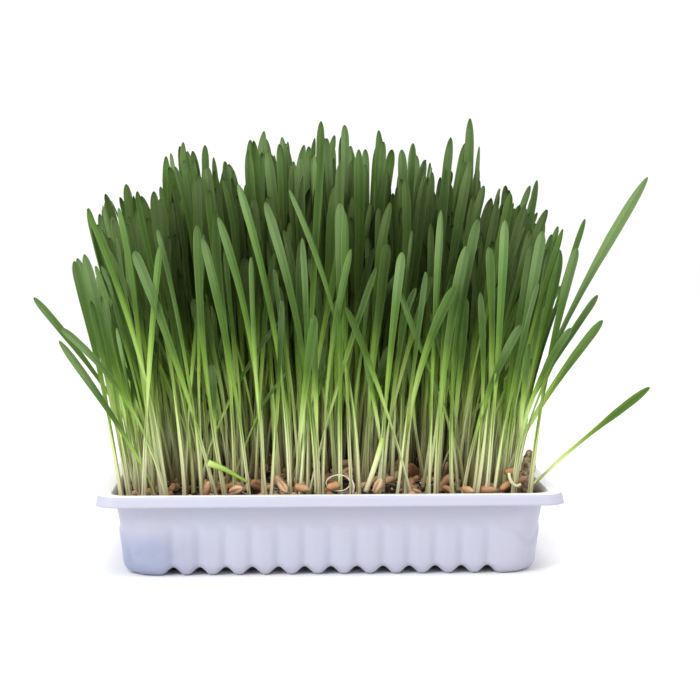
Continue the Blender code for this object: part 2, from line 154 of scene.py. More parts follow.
# Finer detail
# The stray shoots' widths and ages, where they aren't plain, by their tips
STRAY_LOOKS = {
    (150.5, -50, 187): (1.0, -0.85),
    (150.5, -60, 88): (0.95, 0.72),
    (127, -64, 120): (0.85, 0.15),
}
OPENS_LATE = 5.0
LATE_FROM = 117 * MM
LATE_REACH = 30 * MM
FILLER_SHOOTS = 620
FILLER_LEAN = Vector((14, 9)) * MM
FILLER_LENGTHS = (0.42, 1.0, 0.9)
FILLER_ALONG = (-96, 96)
FILLER_DEEP = (-48, 61, 61)
FILLER_CORNER = Vector((90, 55)) * MM
GRAIN_CLEAR = 2.5 * MM
FOOT_SUNK = 1.5 * MM
CROSSING_SHOOTS = 100
CROSSING_ALONG = (-90, 90)
CROSSING_DEEP = (-52, -18)
CROSSING_LENGTHS = (0.32, 0.72)
CROSSING_LEAN = Vector((15, 9)) * MM
CROSSING_END = Vector((88, 62)) * MM
STEM_RADIUS = 1.0 * MM
FINE_WIDTH = 5.0 * MM
KEEL = 1.35 * MM
OPENS_FROM = 0.12
OPEN_AT = 0.84
OPENS = 2.2
# The painted shade in the sward: its top, its open edge, how far painted light reaches in among leaves and among
# stems, and how dark it gets higher up and at the feet
SWARD_TOP = 200 * MM
OPEN_DEPTH = 6 * MM
LIGHT_REACH = 15 * MM
STEM_LIGHT_REACH = 70 * MM
DARKEST = 0.42
DARKEST_FOOT = 0.15
# Heights where the painted light changes, as start and reach: stems let it in, leaves shut it out, feet are dark
LIGHT_STEPS = ((38 * MM, 22 * MM), (75 * MM, 60 * MM), (36 * MM, 30 * MM))
TIP_FROM = 0.92
TIP_STARTS = (0.89, 0.95)
GROWN = (0.76, 1.24)
FACES_OUT = 0.75
HOOKED = 0.45
HOOK = 2.6 * MM
HOOK_FROM = 0.8
SWAY = 1.5 * MM
STEADY_FROM = Vector((117, 76)) * MM
STRAIGHT_LEVELS = 13
TIP_LEVELS = 7
FINE_ACROSS = 7
LOOSE_GRAINS = 270
CRUMBS = 2600
CRUMB_SIZES = (0.35, 1.9, 0.6)
SHAPES = 8
ROOT_HAIRS = 420
GRAIN_LIFT = 1.2 * MM
GRAIN_REACH = 0.93
GRAIN_ROOM = 4.2 * MM
FRONT_SHARE = 0.7
SEEN_HIGHER = 1.4 * MM
HAIR_STEP = 0.95 * MM
HAIR_RADII = (0.09, 0.2)
HAIR_INSET = (14 * MM, 10 * MM)
LOOP_STEPS = 28
LOOP_TURN = (0.25, 5.7)
STUB_STEPS = 16

# Blades that stand out at the front of the photograph, in its pixels: tip, waist and root, and how wide
FRONT_SHOOTS = (
    ((134, 251), (163, 325), (217, 492), 1.1),
    ((160, 246), (152, 330), (143, 490), 0.9),
    ((157, 230), (178, 320), (201, 492), 0.95),
    ((203, 239), (224, 330), (250, 492), 1.0),
    ((197, 225), (202, 330), (226, 492), 0.95),
    ((87, 209), (124, 305), (167, 492), 0.95),
    ((61, 328), (108, 375), (168, 492), 0.8),
    ((74, 261), (92, 335), (124, 492), 1.1),
    ((265, 202), (290, 290), (317, 492), 1.0),
    ((282, 301), (280, 350), (272, 492), 0.9),
    ((314, 315), (315, 370), (320, 492), 0.85),
    ((302, 238), (306, 310), (300, 492), 0.85),
    ((322, 146), (315, 250), (308, 492), 0.95),
    ((346, 307), (372, 370), (412, 492), 0.75),
    ((402, 252), (394, 320), (378, 492), 1.0),
    ((251, 257), (254, 340), (266, 492), 0.85),
    ((218, 217), (240, 290), (262, 492), 0.9),
    ((238, 184), (262, 270), (290, 492), 0.9),
    ((289, 190), (326, 285), (358, 492), 0.8),
    ((345, 212), (345, 290), (352, 492), 0.9),
    ((351, 249), (338, 310), (322, 492), 0.85),
    ((376, 268), (350, 345), (308, 460), 0.8),
    ((466, 246), (449, 335), (436, 492), 1.15),
    ((455, 286), (430, 340), (404, 492), 1.1),
    ((489, 247), (492, 320), (478, 492), 1.0),
    ((480, 292), (483, 350), (474, 492), 0.75),
    ((521, 325), (500, 365), (462, 492), 0.95),
    ((538, 283), (522, 345), (494, 492), 1.0),
    ((426, 272), (416, 350), (398, 492), 0.85),
    ((577, 248), (556, 330), (528, 492), 0.95),
    ((597, 297), (558, 355), (514, 492), 0.6),
    ((571, 328), (544, 372), (512, 492), 0.8),
    ((478, 219), (462, 300), (452, 492), 1.1),
    ((441, 210), (436, 300), (428, 492), 0.9),
    ((505, 220), (500, 320), (486, 492), 1.0),
)
FRONT_WIDTH = 0.84
FRONT_ROOT_DEPTH = -60 * MM
FRONT_TIP_DEPTH = -78 * MM
FRONT_ROW_TO = -38 * MM
FRONT_ROOM = 2.4 * MM

# Blades that shape the photograph's upper outline, further back
SHOULDER_SHOOTS = (
    ((88, 208), (110, 300), (150, 480), 1.1),
    ((109, 193), (128, 290), (158, 480), 1.0),
    ((126, 184), (140, 280), (166, 480), 1.1),
    ((166, 156), (170, 270), (184, 480), 1.1),
    ((183, 142), (186, 260), (200, 480), 1.15),
    ((205, 145), (208, 260), (216, 480), 0.9),
    ((259, 131), (262, 260), (270, 480), 1.2),
    ((282, 137), (290, 260), (300, 480), 1.1),
    ((321, 121), (318, 250), (314, 480), 1.0),
    ((348, 125), (341, 240), (330, 480), 1.0),
    ((381, 130), (378, 250), (368, 480), 1.15),
    ((413, 143), (408, 250), (398, 480), 1.1),
    ((449, 137), (440, 250), (424, 480), 1.1),
    ((470, 118), (466, 240), (450, 480), 1.15),
    ((479, 146), (471, 250), (452, 480), 1.0),
    ((509, 190), (498, 280), (474, 480), 1.0),
    ((537, 180), (520, 280), (488, 480), 1.0),
    ((545, 212), (524, 300), (490, 480), 1.0),
    ((558, 226), (534, 310), (496, 480), 0.9),
    ((585, 219), (552, 320), (503, 480), 0.8),
)
SHOULDER_DEPTH = 18 * MM

# The upper outline of the photograph's grass, in its pixels, and how far below it tips may stay
SKYLINE = (
    (45, 298), (80, 208), (110, 192), (130, 182), (156, 192), (168, 146), (184, 138), (220, 156), (254, 128),
    (288, 137), (322, 120), (380, 125), (426, 138), (468, 118), (486, 184), (536, 177), (556, 230), (587, 222),
    (600, 262),
)
SKYLINE_DEPTH = 34

# Other things that the photograph shows at the foot of the shoots, in its pixels
GRAINS_SEEN = (
    (208, 488), (235, 490), (258, 489), (281, 486), (301, 488), (332, 485), (376, 485), (388, 484),
    (414, 475), (444, 474), (445, 484), (488, 489), (500, 484), (512, 476), (262, 474), (316, 470),
    (343, 466), (360, 462), (272, 463), (226, 466), (398, 470), (425, 466), (465, 470), (477, 480),
)
PALE_BITS = ((415, 488), (421, 483), (430, 486), (437, 490), (441, 484), (446, 481), (392, 489), (456, 486))
LOOPED_ROOT = (338, 483)
LOOP_DEPTH = -62 * MM
LOOP_HALF = (5.6 * MM, 3.8 * MM)
LOOP_RADIUS = 0.25 * MM
UPRIGHT_ROOT = ((353, 493), (354, 487), (352, 480))
UPRIGHT_DEPTH = -60 * MM
UPRIGHT_RADIUS = 0.4 * MM

# A fallen stub, a standing one and a curled sprout: their pixels and depth, and their half widths in mm and
# their colour levels at the foot, the middle and the end
SPROUT_LINE = ((509, 473), (510, 479), (513, 484), (517, 486), (521, 484))
STUBS = (
    (((208, 463), (226, 470), (247, 482)), -61 * MM, (1.7, 1.2, 0.4), (0.22, 0.4, 0.36)),
    (((366, 492), (376, 462), (383, 437)), -58 * MM, (1.25, 1.3, 1.2), (0.0, 0.1, 0.34)),
    (SPROUT_LINE, -61 * MM, (0.7, 0.95, 0.7), (0.1, 0.02, 0.0)),
)

# Clods at the right end: a pixel, the depth and the half sizes in mm
MOSSY_CLODS = (
    ((529, 464), -50 * MM, (2.9, 3.0, 6.6)),
    ((524, 482), -51 * MM, (4.6, 4.5, 5.5)),
    ((513, 487), -51 * MM, (5.0, 4.5, 4.2)),
)

# Grains on the clods, grains right behind the rim, and grains that no shoot may hide
PERCHED_GRAINS = ((512, 471), (519, 480), (506, 486))
PERCH_DEPTH = -56 * MM
FRONT_GRAINS = (
    (207, 489), (236, 490), (283, 487), (302, 488), (334, 486), (378, 486), (468, 490), (489, 490),
)
FRONT_GRAIN_DEPTH = -61.5 * MM
OPEN_VIEWS = ((414, 475), (444, 474))
OPEN_VIEW_HALF = 4 * MM

# Colours of the leaves, from the white stem up, and the painted light and shade that stand for the light reaching
# them
YOUNG_LEAF = (
    (0.0, (0.58, 0.51, 0.3)), (0.05, (0.63, 0.61, 0.4)), (0.1, (0.65, 0.69, 0.39)),
    (0.16, (0.63, 0.72, 0.35)), (0.26, (0.49, 0.66, 0.19)), (0.37, (0.28, 0.46, 0.064)),
    (0.52, (0.09, 0.192, 0.017)), (0.78, (0.078, 0.177, 0.029)), (1.0, (0.185, 0.295, 0.115)),
)
GROWN_LEAF = (
    (0.0, (0.5, 0.44, 0.27)), (0.08, (0.54, 0.54, 0.28)), (0.22, (0.45, 0.61, 0.168)),
    (0.36, (0.185, 0.33, 0.042)), (0.5, (0.04, 0.098, 0.007)), (0.78, (0.038, 0.094, 0.014)),
    (1.0, (0.115, 0.19, 0.07)),
)
GREY_BLOOM = (0.2, 0.31, 0.12)
YELLOWED = (0.22, 0.32, 0.05)
PALE_VEIN_AND_EDGE_HIGHLIGHT = (0.26, 0.38, 0.11)
SHADED_HALF = (0.02, 0.05, 0.008)
DRY_TIP = (0.55, 0.3, 0.06)
LEAF_LIGHT = (
    (DARKEST_FOOT, (0.18, 0.15, 0.07)), (DARKEST, (0.44, 0.43, 0.3)),
    (0.7, (0.71, 0.7, 0.61)), (1.0, (1.0, 1.0, 1.0)),
)

# Colours of the plastic and the soil
LAVENDER = ((0.3, (0.42, 0.43, 0.525)), (0.5, (0.438, 0.434, 0.53)), (0.7, (0.424, 0.438, 0.54)))
MOTTLE = (0.467, 0.453, 0.535)
FLANGE_TOP_PAINTED_LIGHT = (0.84, 0.83, 0.87)
DUST_AND_PAINTED_SHADE = (0.42, 0.35, 0.3)
BLUE_FOOT = (0.26, 0.295, 0.425)
DUST_AND_SHADE_WITHIN = (103 * MM, 68 * MM)
BLUE_LEFT_OF = -47.25 * MM
BLUE_BELOW = 26.25 * MM
SOIL_BROWN = (
    (0.3, (0.01, 0.006, 0.003)), (0.5, (0.03, 0.018, 0.009)),
    (0.66, (0.08, 0.045, 0.024)), (0.8, (0.17, 0.11, 0.065)),
)
CRUMB_TONES = (
    (0.0, (0.012, 0.008, 0.006)), (0.5, (0.035, 0.02, 0.012)), (0.85, (0.09, 0.05, 0.03)),
    (0.94, (0.16, 0.1, 0.06)), (0.955, (0.62, 0.58, 0.5)), (1.0, (0.75, 0.72, 0.66)),
)
GRAIN_TONES = (
    (0.0, (0.13, 0.055, 0.025)), (0.35, (0.36, 0.165, 0.07)),
    (0.7, (0.6, 0.34, 0.16)), (1.0, (0.72, 0.48, 0.27)),
)
GRIT = (0.08, 0.05, 0.03)
GRAIN_CREASE = (0.07, 0.025, 0.012)
GRAIN_TIP = (0.72, 0.58, 0.4)
GRAIN_WRINKLE = (0.27, 0.11, 0.045)
MOSS = ((0.35, (0.09, 0.055, 0.03)), (0.5, (0.27, 0.2, 0.12)), (0.62, (0.46, 0.4, 0.27)))
ROOT_WHITE = ((0.3, (0.5, 0.42, 0.3)), (0.6, (0.72, 0.68, 0.56)))
FLOOR_WHITE = ((0.3, (0.95, 0.95, 0.95)), (0.7, (0.96, 0.96, 0.96)))


def new_object(name, vertices, faces, material):
    mesh = bpy.data.meshes.new(name)
    mesh.from_pydata([tuple(v) for v in vertices], [], [tuple(int(i) for i in f) for f in faces])
    mesh.update()
    mesh.materials.append(material)
    mesh.polygons.foreach_set("use_smooth", [True] * len(mesh.polygons))
    made = bpy.data.objects.new(name, mesh)
    bpy.context.scene.collection.objects.link(made)
    return made


def set_attribute(made, name, values):
    """Stores three numbers for each vertex, for the material to read."""
    layer = made.data.attributes.new(name, "FLOAT_COLOR", "POINT")
    colours = np.ones((len(made.data.vertices), 4), np.float32)
    colours[:, :3] = values
    layer.data.foreach_set("color", colours.ravel())


def grid_faces(rows, columns, closed=False):
    """Faces between rows of vertices, where each row is an open line or, if closed, a ring."""
    faces = []
    for start in range(0, (rows - 1) * columns, columns):
        for i in range(columns if closed else columns - 1):
            j = (i + 1) % columns
            faces.append((start + i, start + j, start + columns + j, start + columns + i))
    return faces


def ball(subdivisions, rough):
    """A ball whose points are pushed out or in by a rule, as (points, faces)."""
    bm = bmesh.new()
    bmesh.ops.create_icosphere(bm, subdivisions=subdivisions, radius=1)
    points = [v.co * rough(v.co) for v in bm.verts]
    faces = [[v.index for v in f.verts] for f in bm.faces]
    bm.free()
    return points, faces


def bent(start, knee, end, t):
    """A point of the arc from a start to an end that a knee draws aside."""
    return start * (1 - t) ** 2 + knee * (2 * t * (1 - t)) + end * t**2


def held(point, reach):
    """A point moved into the rectangle round the origin that reaches so far."""
    return Vector((max(-reach.x, min(reach.x, point.x)), max(-reach.y, min(reach.y, point.y))))


class Nodes:
    """A short way to build a material's nodes."""

    def __init__(self, name, roughness=0.5, specular=0.5):
        self.material = bpy.data.materials.new(name)
        self.material.use_nodes = True
        self.tree = self.material.node_tree
        self.shader = self.tree.nodes["Principled BSDF"]
        self.shader.inputs["Roughness"].default_value = roughness
        self.shader.inputs["Specular IOR Level"].default_value = specular

    def add(self, kind, **settings):
        node = self.tree.nodes.new(kind)
        for key, value in settings.items():
            setattr(node, key, value)
        return node

    def link(self, source, target):
        self.tree.links.new(source, target)

    def feed(self, socket, value):
        """Sets a socket to a number or a colour, or links it to what another node gives."""
        if isinstance(value, (int, float)):
            socket.default_value = value
        elif isinstance(value, tuple):
            socket.default_value = (*value, 1)
        else:
            self.link(value, socket)

    def numbers(self, name):
        """The three numbers that set_attribute stored."""
        parts = self.add("ShaderNodeSeparateColor")
        self.link(self.add("ShaderNodeAttribute", attribute_name=name).outputs["Color"], parts.inputs[0])
        return parts.outputs[:3]

    def noise(self, scale, detail, roughness=0.6):
        node = self.add("ShaderNodeTexNoise")
        node.inputs["Scale"].default_value = scale
        node.inputs["Detail"].default_value = detail
        node.inputs["Roughness"].default_value = roughness
        self.link(self.add("ShaderNodeTexCoord").outputs["Object"], node.inputs["Vector"])
        return node.outputs["Fac"]

    def ramp(self, factor, stops):
        node = self.add("ShaderNodeValToRGB")
        elements = node.color_ramp.elements
        while len(elements) < len(stops):
            elements.new(0.5)
        for element, (place, colour) in zip(elements, stops):
            element.position = place
            element.color = (*colour, 1)
        self.link(factor, node.inputs[0])
        return node.outputs[0]

    def mix(self, factor, first, second, blend="MIX"):
        node = self.add("ShaderNodeMix", data_type="RGBA", blend_type=blend)
        self.feed(node.inputs[0], factor)
        self.feed(node.inputs[6], first)
        self.feed(node.inputs[7], second)
        return node.outputs[2]

    def math(self, operation, first, second=0.0, third=0.0):
        node = self.add("ShaderNodeMath", operation=operation)
        for socket, value in zip(node.inputs, (first, second, third)):
            self.feed(socket, value)
        return node.outputs[0]

    def times(self, first, second):
        return self.math("MULTIPLY", first, second)

    def scaled(self, value, factor, offset):
        return self.math("MULTIPLY_ADD", value, factor, offset)

    def place(self):
        """The three coordinates of a point on the object."""
        parts = self.add("ShaderNodeSeparateXYZ")
        self.link(self.add("ShaderNodeTexCoord").outputs["Object"], parts.inputs[0])
        return parts.outputs

    def inside(self, value):
        """A soft step: 0 below 0, and 1 above 1."""
        node = self.add("ShaderNodeMapRange", interpolation_type="SMOOTHSTEP")
        self.link(value, node.inputs["Value"])
        return node.outputs[0]

    def below(self, value, edge, reach):
        """0 above an edge, 1 where a value is reach or more below it. A reach under 0 turns it over."""
        return self.inside(self.scaled(value, -1 / reach, edge / reach))

    def bump(self, height, strength, distance):
        node = self.add("ShaderNodeBump")
        node.inputs["Strength"].default_value = strength
        node.inputs["Distance"].default_value = distance
        self.link(height, node.inputs["Height"])
        self.link(node.outputs[0], self.shader.inputs["Normal"])

    def colour(self, source):
        self.link(source, self.shader.inputs["Base Color"])


def leaf_material():
    """Leaf: white stem, then yellow-green to a dull dark green, with fine veins along it and some dry tips.
    Painted shade darkens the leaves deep in the sward and one half of each blade, and a painted highlight
    lightens its edges.
    """
    m = Nodes("wheatgrass leaf", 0.5, 0.16)
    along, across, tone = m.numbers("leaf")
    dry, painted_daylight, bloom = m.numbers("growth_and_painted_shade")
    body = m.mix(tone, m.ramp(along, YOUNG_LEAF), m.ramp(along, GROWN_LEAF))
    body = m.mix(bloom, body, GREY_BLOOM)
    blotch = m.noise(260.0, 3.0)
    green = m.inside(m.scaled(along, 3.0, -0.35))
    body = m.mix(m.times(m.times(blotch, 0.14), green), body, YELLOWED)
    veins = m.math("SINE", m.times(across, 46.0))
    veins = m.scaled(veins, 0.5, 0.5)
    # Painted highlight: the blade's edges are lightened, along with the pale lines of its veins
    edge = m.math("POWER", m.math("ABSOLUTE", across), 7.0)
    lines = m.scaled(veins, 0.12, m.times(edge, 0.4))
    body = m.mix(m.times(lines, green), body, PALE_VEIN_AND_EDGE_HIGHLIGHT)
    # Painted shade: one half of each blade is darker, as if its fold turned it from the light
    half = m.inside(m.scaled(across, 2.5, 0.5))
    half = m.times(m.times(half, 0.42), green)
    body = m.mix(half, body, SHADED_HALF)
    body = m.mix(dry, body, DRY_TIP)
    # Painted shade: the leaves are darkened the deeper they stand in the sward, most between the stems' feet
    shade = m.ramp(painted_daylight, LEAF_LIGHT)
    m.colour(m.mix(1.0, body, shade, "MULTIPLY"))
    m.bump(veins, 0.3, 0.00015)
    return m.material


def plastic_material(name, inner):
    """White pressed sheet with a lavender cast, softly mottled.

    Outside it is bluer at the left foot; inside below the rim it is darker and browner, dust with painted shade;
    and the flange's top is whitened with painted light.
    """
    m = Nodes(name, 0.42, 0.4)
    cloud = m.noise(26.0, 3.0)
    fine = m.noise(140.0, 4.0)
    body = m.mix(m.times(fine, 0.2), m.ramp(cloud, LAVENDER), MOTTLE)
    across, deep, up = m.place()
    # Painted light: the flange's top, which faces the lamps, is whitened
    body = m.mix(m.below(up, TRAY_HEIGHT - 0.2 * MM, -0.15 * MM), body, FLANGE_TOP_PAINTED_LIGHT)
    if inner:
        # Dust with painted shade: the inner wall below the rim is darker and browner
        x, y = (m.below(m.math("ABSOLUTE", v), edge, 3 * MM) for v, edge in zip((across, deep), DUST_AND_SHADE_WITHIN))
        body = m.mix(m.times(m.times(x, y), 0.9), body, DUST_AND_PAINTED_SHADE)
    else:
        patch = m.times(m.below(across, BLUE_LEFT_OF, 45 * MM), m.below(up, BLUE_BELOW, 15 * MM))
        patch = m.times(patch, m.scaled(m.noise(60.0, 5.0), 1.2, 0.35))
        body = m.mix(patch, body, BLUE_FOOT)
    m.colour(body)
    m.bump(fine, 0.08, 0.0003)
    return m.material


def soil_material():
    """Damp potting soil: near black with brown fibres and a few pale bits."""
    m = Nodes("potting soil", 0.92, 0.25)
    m.colour(m.ramp(m.noise(420.0, 5.0, 0.7), SOIL_BROWN))
    m.bump(m.noise(900.0, 6.0, 0.75), 0.9, 0.0008)
    return m.material


def crumb_material():
    m = Nodes("soil crumbs", 0.9)
    body = m.ramp(m.numbers("tone")[0], CRUMB_TONES)
    grit = m.noise(1400.0, 4.0)
    m.colour(m.mix(m.times(grit, 0.3), body, GRIT))
    m.bump(grit, 0.7, 0.0004)
    return m.material


def grain_material():
    """Wheat grain: orange-tan to red-brown skin, paler at the tip and darker in its crease."""
    m = Nodes("wheat grain", 0.5)
    along, crease, tone = m.numbers("grain")
    skin = m.ramp(tone, GRAIN_TONES)
    skin = m.mix(m.times(crease, 0.85), skin, GRAIN_CREASE)
    skin = m.mix(m.times(m.math("POWER", along, 4.0), 0.6), skin, GRAIN_TIP)
    wrinkle = m.noise(900.0, 4.0)
    m.colour(m.mix(m.times(wrinkle, 0.5), skin, GRAIN_WRINKLE))
    m.bump(wrinkle, 0.9, 0.0005)
    return m.material


def moss_material():
    m = Nodes("mossy soil", 0.9)
    m.colour(m.ramp(m.noise(380.0, 4.0), MOSS))
    m.bump(m.noise(900.0, 5.0), 0.8, 0.0006)
    return m.material


def root_material():
    m = Nodes("root hair", 0.6)
    m.colour(m.ramp(m.noise(500.0, 3.0), ROOT_WHITE))
    return m.material


# Tray


def turned(x, y, z, turn):
    return Vector((x * math.cos(turn) - y * math.sin(turn), x * math.sin(turn) + y * math.cos(turn), z))


def wall_inset(level):
    return FLANGE_WIDTH + math.tan(DRAFT) * (FLANGE_UNDER - level)


def smooth_step(t):
    t = min(1.0, max(0.0, t))
    return t * t * (3 - 2 * t)


def on_pad(place, grooves, lobe):
    """0 in a groove's middle, 1 on a pad, and a soft slope between them, which is a wave at the foot."""
    nearest = min(abs(place - (i - (grooves - 1) / 2) * RIB_PITCH) for i in range(grooves))
    straight = smooth_step(nearest / (GROOVE_HALF + RIB_SLOPE))
    wave = 1 - (0.5 + 0.5 * math.cos(math.tau * nearest / RIB_PITCH)) ** LOBE_ROUND
    return straight + (wave - straight) * lobe


def side_places(grooves):
    reach = grooves / 2 * RIB_PITCH
    count = grooves * STEPS_PER_RIB
    return [-reach + i * 2 * reach / count for i in range(count + 1)]


def pad_top(from_corner):
    """The height that the pads reach, which arches down to a notch at each corner."""
    near = math.exp(-((from_corner / ARCH_REACH) ** 2))
    return PAD_TOP + (PAD_TOP_AT_CORNER - PAD_TOP) * near


def pad_push(level, from_corner):
    """How far a pad stands out from the wall at a height."""
    bulge = (PAD_RISE + PAD_DRAFT_GAIN * (PAD_TOP - max(level, FILLET_TOP))) * SOFTER_RIBS
    notch = 0.5 * math.exp(-((from_corner / NOTCH_REACH) ** 2))
    return bulge * smooth_step((pad_top(from_corner) - level) / SOFT_SHOULDER) * (1 - notch)


def tray_ring(inset, radius, level, ribbed=False, floor_rise=0.0):
    """One ring round the tray, anticlockwise from above, from the front side's left end."""
    half = (HALF_LENGTH - inset, HALF_WIDTH - inset)
    points = []
    for side, grooves in enumerate((LONG_GROOVES, SHORT_GROOVES) * 2):
        turn = side * math.pi / 2
        along, out = half if side % 2 == 0 else half[::-1]
        arc = radius * math.pi / 4
        for place in side_places(grooves):
            pad = on_pad(place, grooves, min(1.0, floor_rise / GROOVE_DEPTH * LOBE_GAIN))
            push = pad**PAD_FULLNESS * pad_push(level, along - radius + arc - abs(place)) if ribbed else 0.0
            rise = floor_rise * (1 - pad) if side % 2 == 0 else 0.0
            points.append(turned(place, -(out + push), level + rise, turn))
        for step in range(CORNER_STEPS + 1):
            angle = step / CORNER_STEPS * math.pi / 2
            push = pad_push(level, abs(angle - math.pi / 4) * radius) if ribbed else 0.0
            x = along - radius + (radius + push) * math.sin(angle)
            y = -(out - radius) - (radius + push) * math.cos(angle)
            points.append(turned(x, y, level, turn))
    return points


def fillet_curve(t):
    """From the wall's foot to the floor: how far in, and how high."""
    weights = ((1 - t) ** 3, 3 * t * (1 - t) ** 2, 3 * t * t * (1 - t), t**3)
    return tuple(sum(w * p[i] for w, p in zip(weights, FILLET_CURVE)) for i in (0, 1))


def lip_rings():
    """The rings from the lip's foot up over its round edge and down from the flange to the plain band."""
    lip_foot = FLANGE_UNDER - LIP_DROP
    for t in (0.0, 0.3, 0.6, 0.85):
        level = lip_foot + (FLANGE_UNDER - FLANGE_CHAMFER - lip_foot) * t
        yield tray_ring(-LIP_FLARE * (1 - t), RIM_RADIUS, level)
    for t in (0.0, 0.25, 0.5, 0.75, 1.0):
        angle = t * math.pi / 2
        inset = FLANGE_CHAMFER * (1 - math.cos(angle))
        yield tray_ring(inset, RIM_RADIUS - inset, FLANGE_UNDER - FLANGE_CHAMFER * (1 - math.sin(angle)))
    yield tray_ring(FLANGE_WIDTH - FLANGE_BEND, RIM_RADIUS - 1 * MM, FLANGE_UNDER)
    for t in (0.3, 0.6, 1.0):
        level = FLANGE_UNDER - BEND_DROP * t * t
        inset = FLANGE_WIDTH - FLANGE_BEND * (1 - t) + (wall_inset(level) - FLANGE_WIDTH) * t
        yield tray_ring(inset, RIM_RADIUS, level)


def wall_rings():
    """The rings of the plain band, the pads and grooves, and the round foot with the ribs under it."""
    top = FLANGE_UNDER - BEND_DROP
    band, pads = (top, PAD_TOP, BAND_STEPS, False), (PAD_TOP, FILLET_TOP, WALL_STEPS, True)
    for upper, lower, steps, ribbed in (band, pads):
        for i in range(1, steps + 1):
            level = upper + (lower - upper) * i / steps
            yield tray_ring(wall_inset(level), BODY_RADIUS, level, ribbed=ribbed)
    foot = wall_inset(FILLET_TOP)
    for i in range(1, FILLET_STEPS + 1):
        inset, level = fillet_curve(i / FILLET_STEPS)
        rise = GROOVE_DEPTH * smooth_step(i / FILLET_STEPS * RISE_GAIN)
        yield tray_ring(foot + inset, BODY_RADIUS - inset * 0.6, level, ribbed=True, floor_rise=rise)


def make_tray(material, inner_material):
    rings = [*lip_rings(), *wall_rings()]
    count = len(rings[0])
    vertices = [p for ring in rings for p in ring]
    faces = [face[::-1] for face in grid_faces(len(rings), count, closed=True)]
    # The floor: strips from the front's foot to the back's, and a face at each end
    base = (len(rings) - 1) * count
    long_points = LONG_GROOVES * STEPS_PER_RIB + 1
    back = long_points + 2 * (CORNER_STEPS + 1) + SHORT_GROOVES * STEPS_PER_RIB + 1
    far = base + back + long_points - 1
    faces += [(base + i, far - i, far - i - 1, base + i + 1) for i in range(long_points - 1)]
    right = [base + i for i in range(long_points - 1, back + 1)]
    left = [base + i for i in range(back + long_points - 1, count)] + [base]
    faces += [tuple(right[::-1]), tuple(left[::-1])]
    tray = new_object("fine_tray", vertices, faces, material)
    tray.data.materials.append(inner_material)
    sheet = tray.modifiers.new("Sheet", "SOLIDIFY")
    sheet.thickness = SHEET
    sheet.offset = -1
    sheet.use_even_offset = True
    sheet.material_offset = 1
    return tray


# Soil


def soil_level(x, y):
    half_length, half_width = soil_half(SOIL_EDGE_LEVEL)
    crown = max(0.0, 1 - (x / half_length) ** 2) * max(0.0, 1 - (y / half_width) ** 2)
    lumps = math.sin(x / (7.3 * MM) + 1.2) * math.cos(y / (6.1 * MM)) + math.sin((x + y) / (4.7 * MM))
    return SOIL_EDGE_LEVEL + SOIL_CROWN * crown + SOIL_BUMP * lumps * 0.5


def soil_half(level):
    inset = wall_inset(level) + SHEET + SOIL_GAP
    return HALF_LENGTH - inset, HALF_WIDTH - inset


def crumbly(x, y):
    """The fine soil's surface: the plain one, broken into crumbs."""
    at = Vector((x, y, 0))
    return soil_level(x, y) + sum(noise.noise(at * often + aside) * high for often, high, aside in SOIL_LUMPS)


def rounded_reach(angle_x, angle_y, half, radius):
    """Draws a grid point in a square to the same place in a rectangle with round corners."""
    x, y = angle_x * half[0], angle_y * half[1]
    over_x, over_y = abs(x) - (half[0] - radius), abs(y) - (half[1] - radius)
    if over_x > 0 and over_y > 0:
        far = max(over_x, over_y)
        reach = math.hypot(over_x, over_y)
        x = math.copysign(half[0] - radius + over_x * far / reach, x)
        y = math.copysign(half[1] - radius + over_y * far / reach, y)
    return x, y


def make_soil(material):
    columns, rows = SOIL_GRID
    half = soil_half(SOIL_EDGE_LEVEL)
    radius = BODY_RADIUS - 1.5 * MM
    vertices = []
    for j in range(rows + 1):
        for i in range(columns + 1):
            x, y = rounded_reach(2 * i / columns - 1, 2 * j / rows - 1, half, radius)
            vertices.append((x, y, crumbly(x, y)))
    faces = grid_faces(rows + 1, columns + 1)
    edge = list(range(columns + 1))
    edge += [j * (columns + 1) + columns for j in range(1, rows + 1)]
    edge += [rows * (columns + 1) + i for i in range(columns - 1, -1, -1)]
    edge += [j * (columns + 1) for j in range(rows - 1, 0, -1)]
    below = len(vertices)
    for index in edge:
        x, y, _ = vertices[index]
        vertices.append((x * 0.95, y * 0.93, SOIL_FLOOR))
    for i in range(len(edge)):
        k = (i + 1) % len(edge)
        faces.append((edge[i], below + i, below + k, edge[k]))
    faces.append(tuple(range(below, len(vertices)))[::-1])
    return new_object("fine_soil", vertices, faces, material)


def crumb_shape(rng):
    """A rough little lump, as (points, faces)."""
    seed = Vector((rng.uniform(0, 90), rng.uniform(0, 90), rng.uniform(0, 90)))
    points, faces = ball(2, lambda at: 1 + 0.45 * noise.noise(at * 1.6 + seed))
    return np.array([tuple(p) for p in points]), faces


def scattered(name, shapes, places, material, attribute, values):
    """Many copies of a few shapes as one mesh. A place is (shape, matrix), a value three numbers."""
    all_points, all_faces, all_values, start = [], [], [], 0
    for (shape, matrix), value in zip(places, values):
        points, faces = shapes[shape][:2]
        turn = np.array(matrix.to_3x3())
        all_points.append(points @ turn.T + np.array(matrix.translation))
        all_faces += [[start + i for i in f] for f in faces]
        extra = shapes[shape][2] if len(shapes[shape]) > 2 else np.zeros((len(points), 3))
        all_values.append(extra + np.array(value))
        start += len(points)
    made = new_object(name, np.concatenate(all_points), all_faces, material)
    set_attribute(made, attribute, np.concatenate(all_values))
    return made


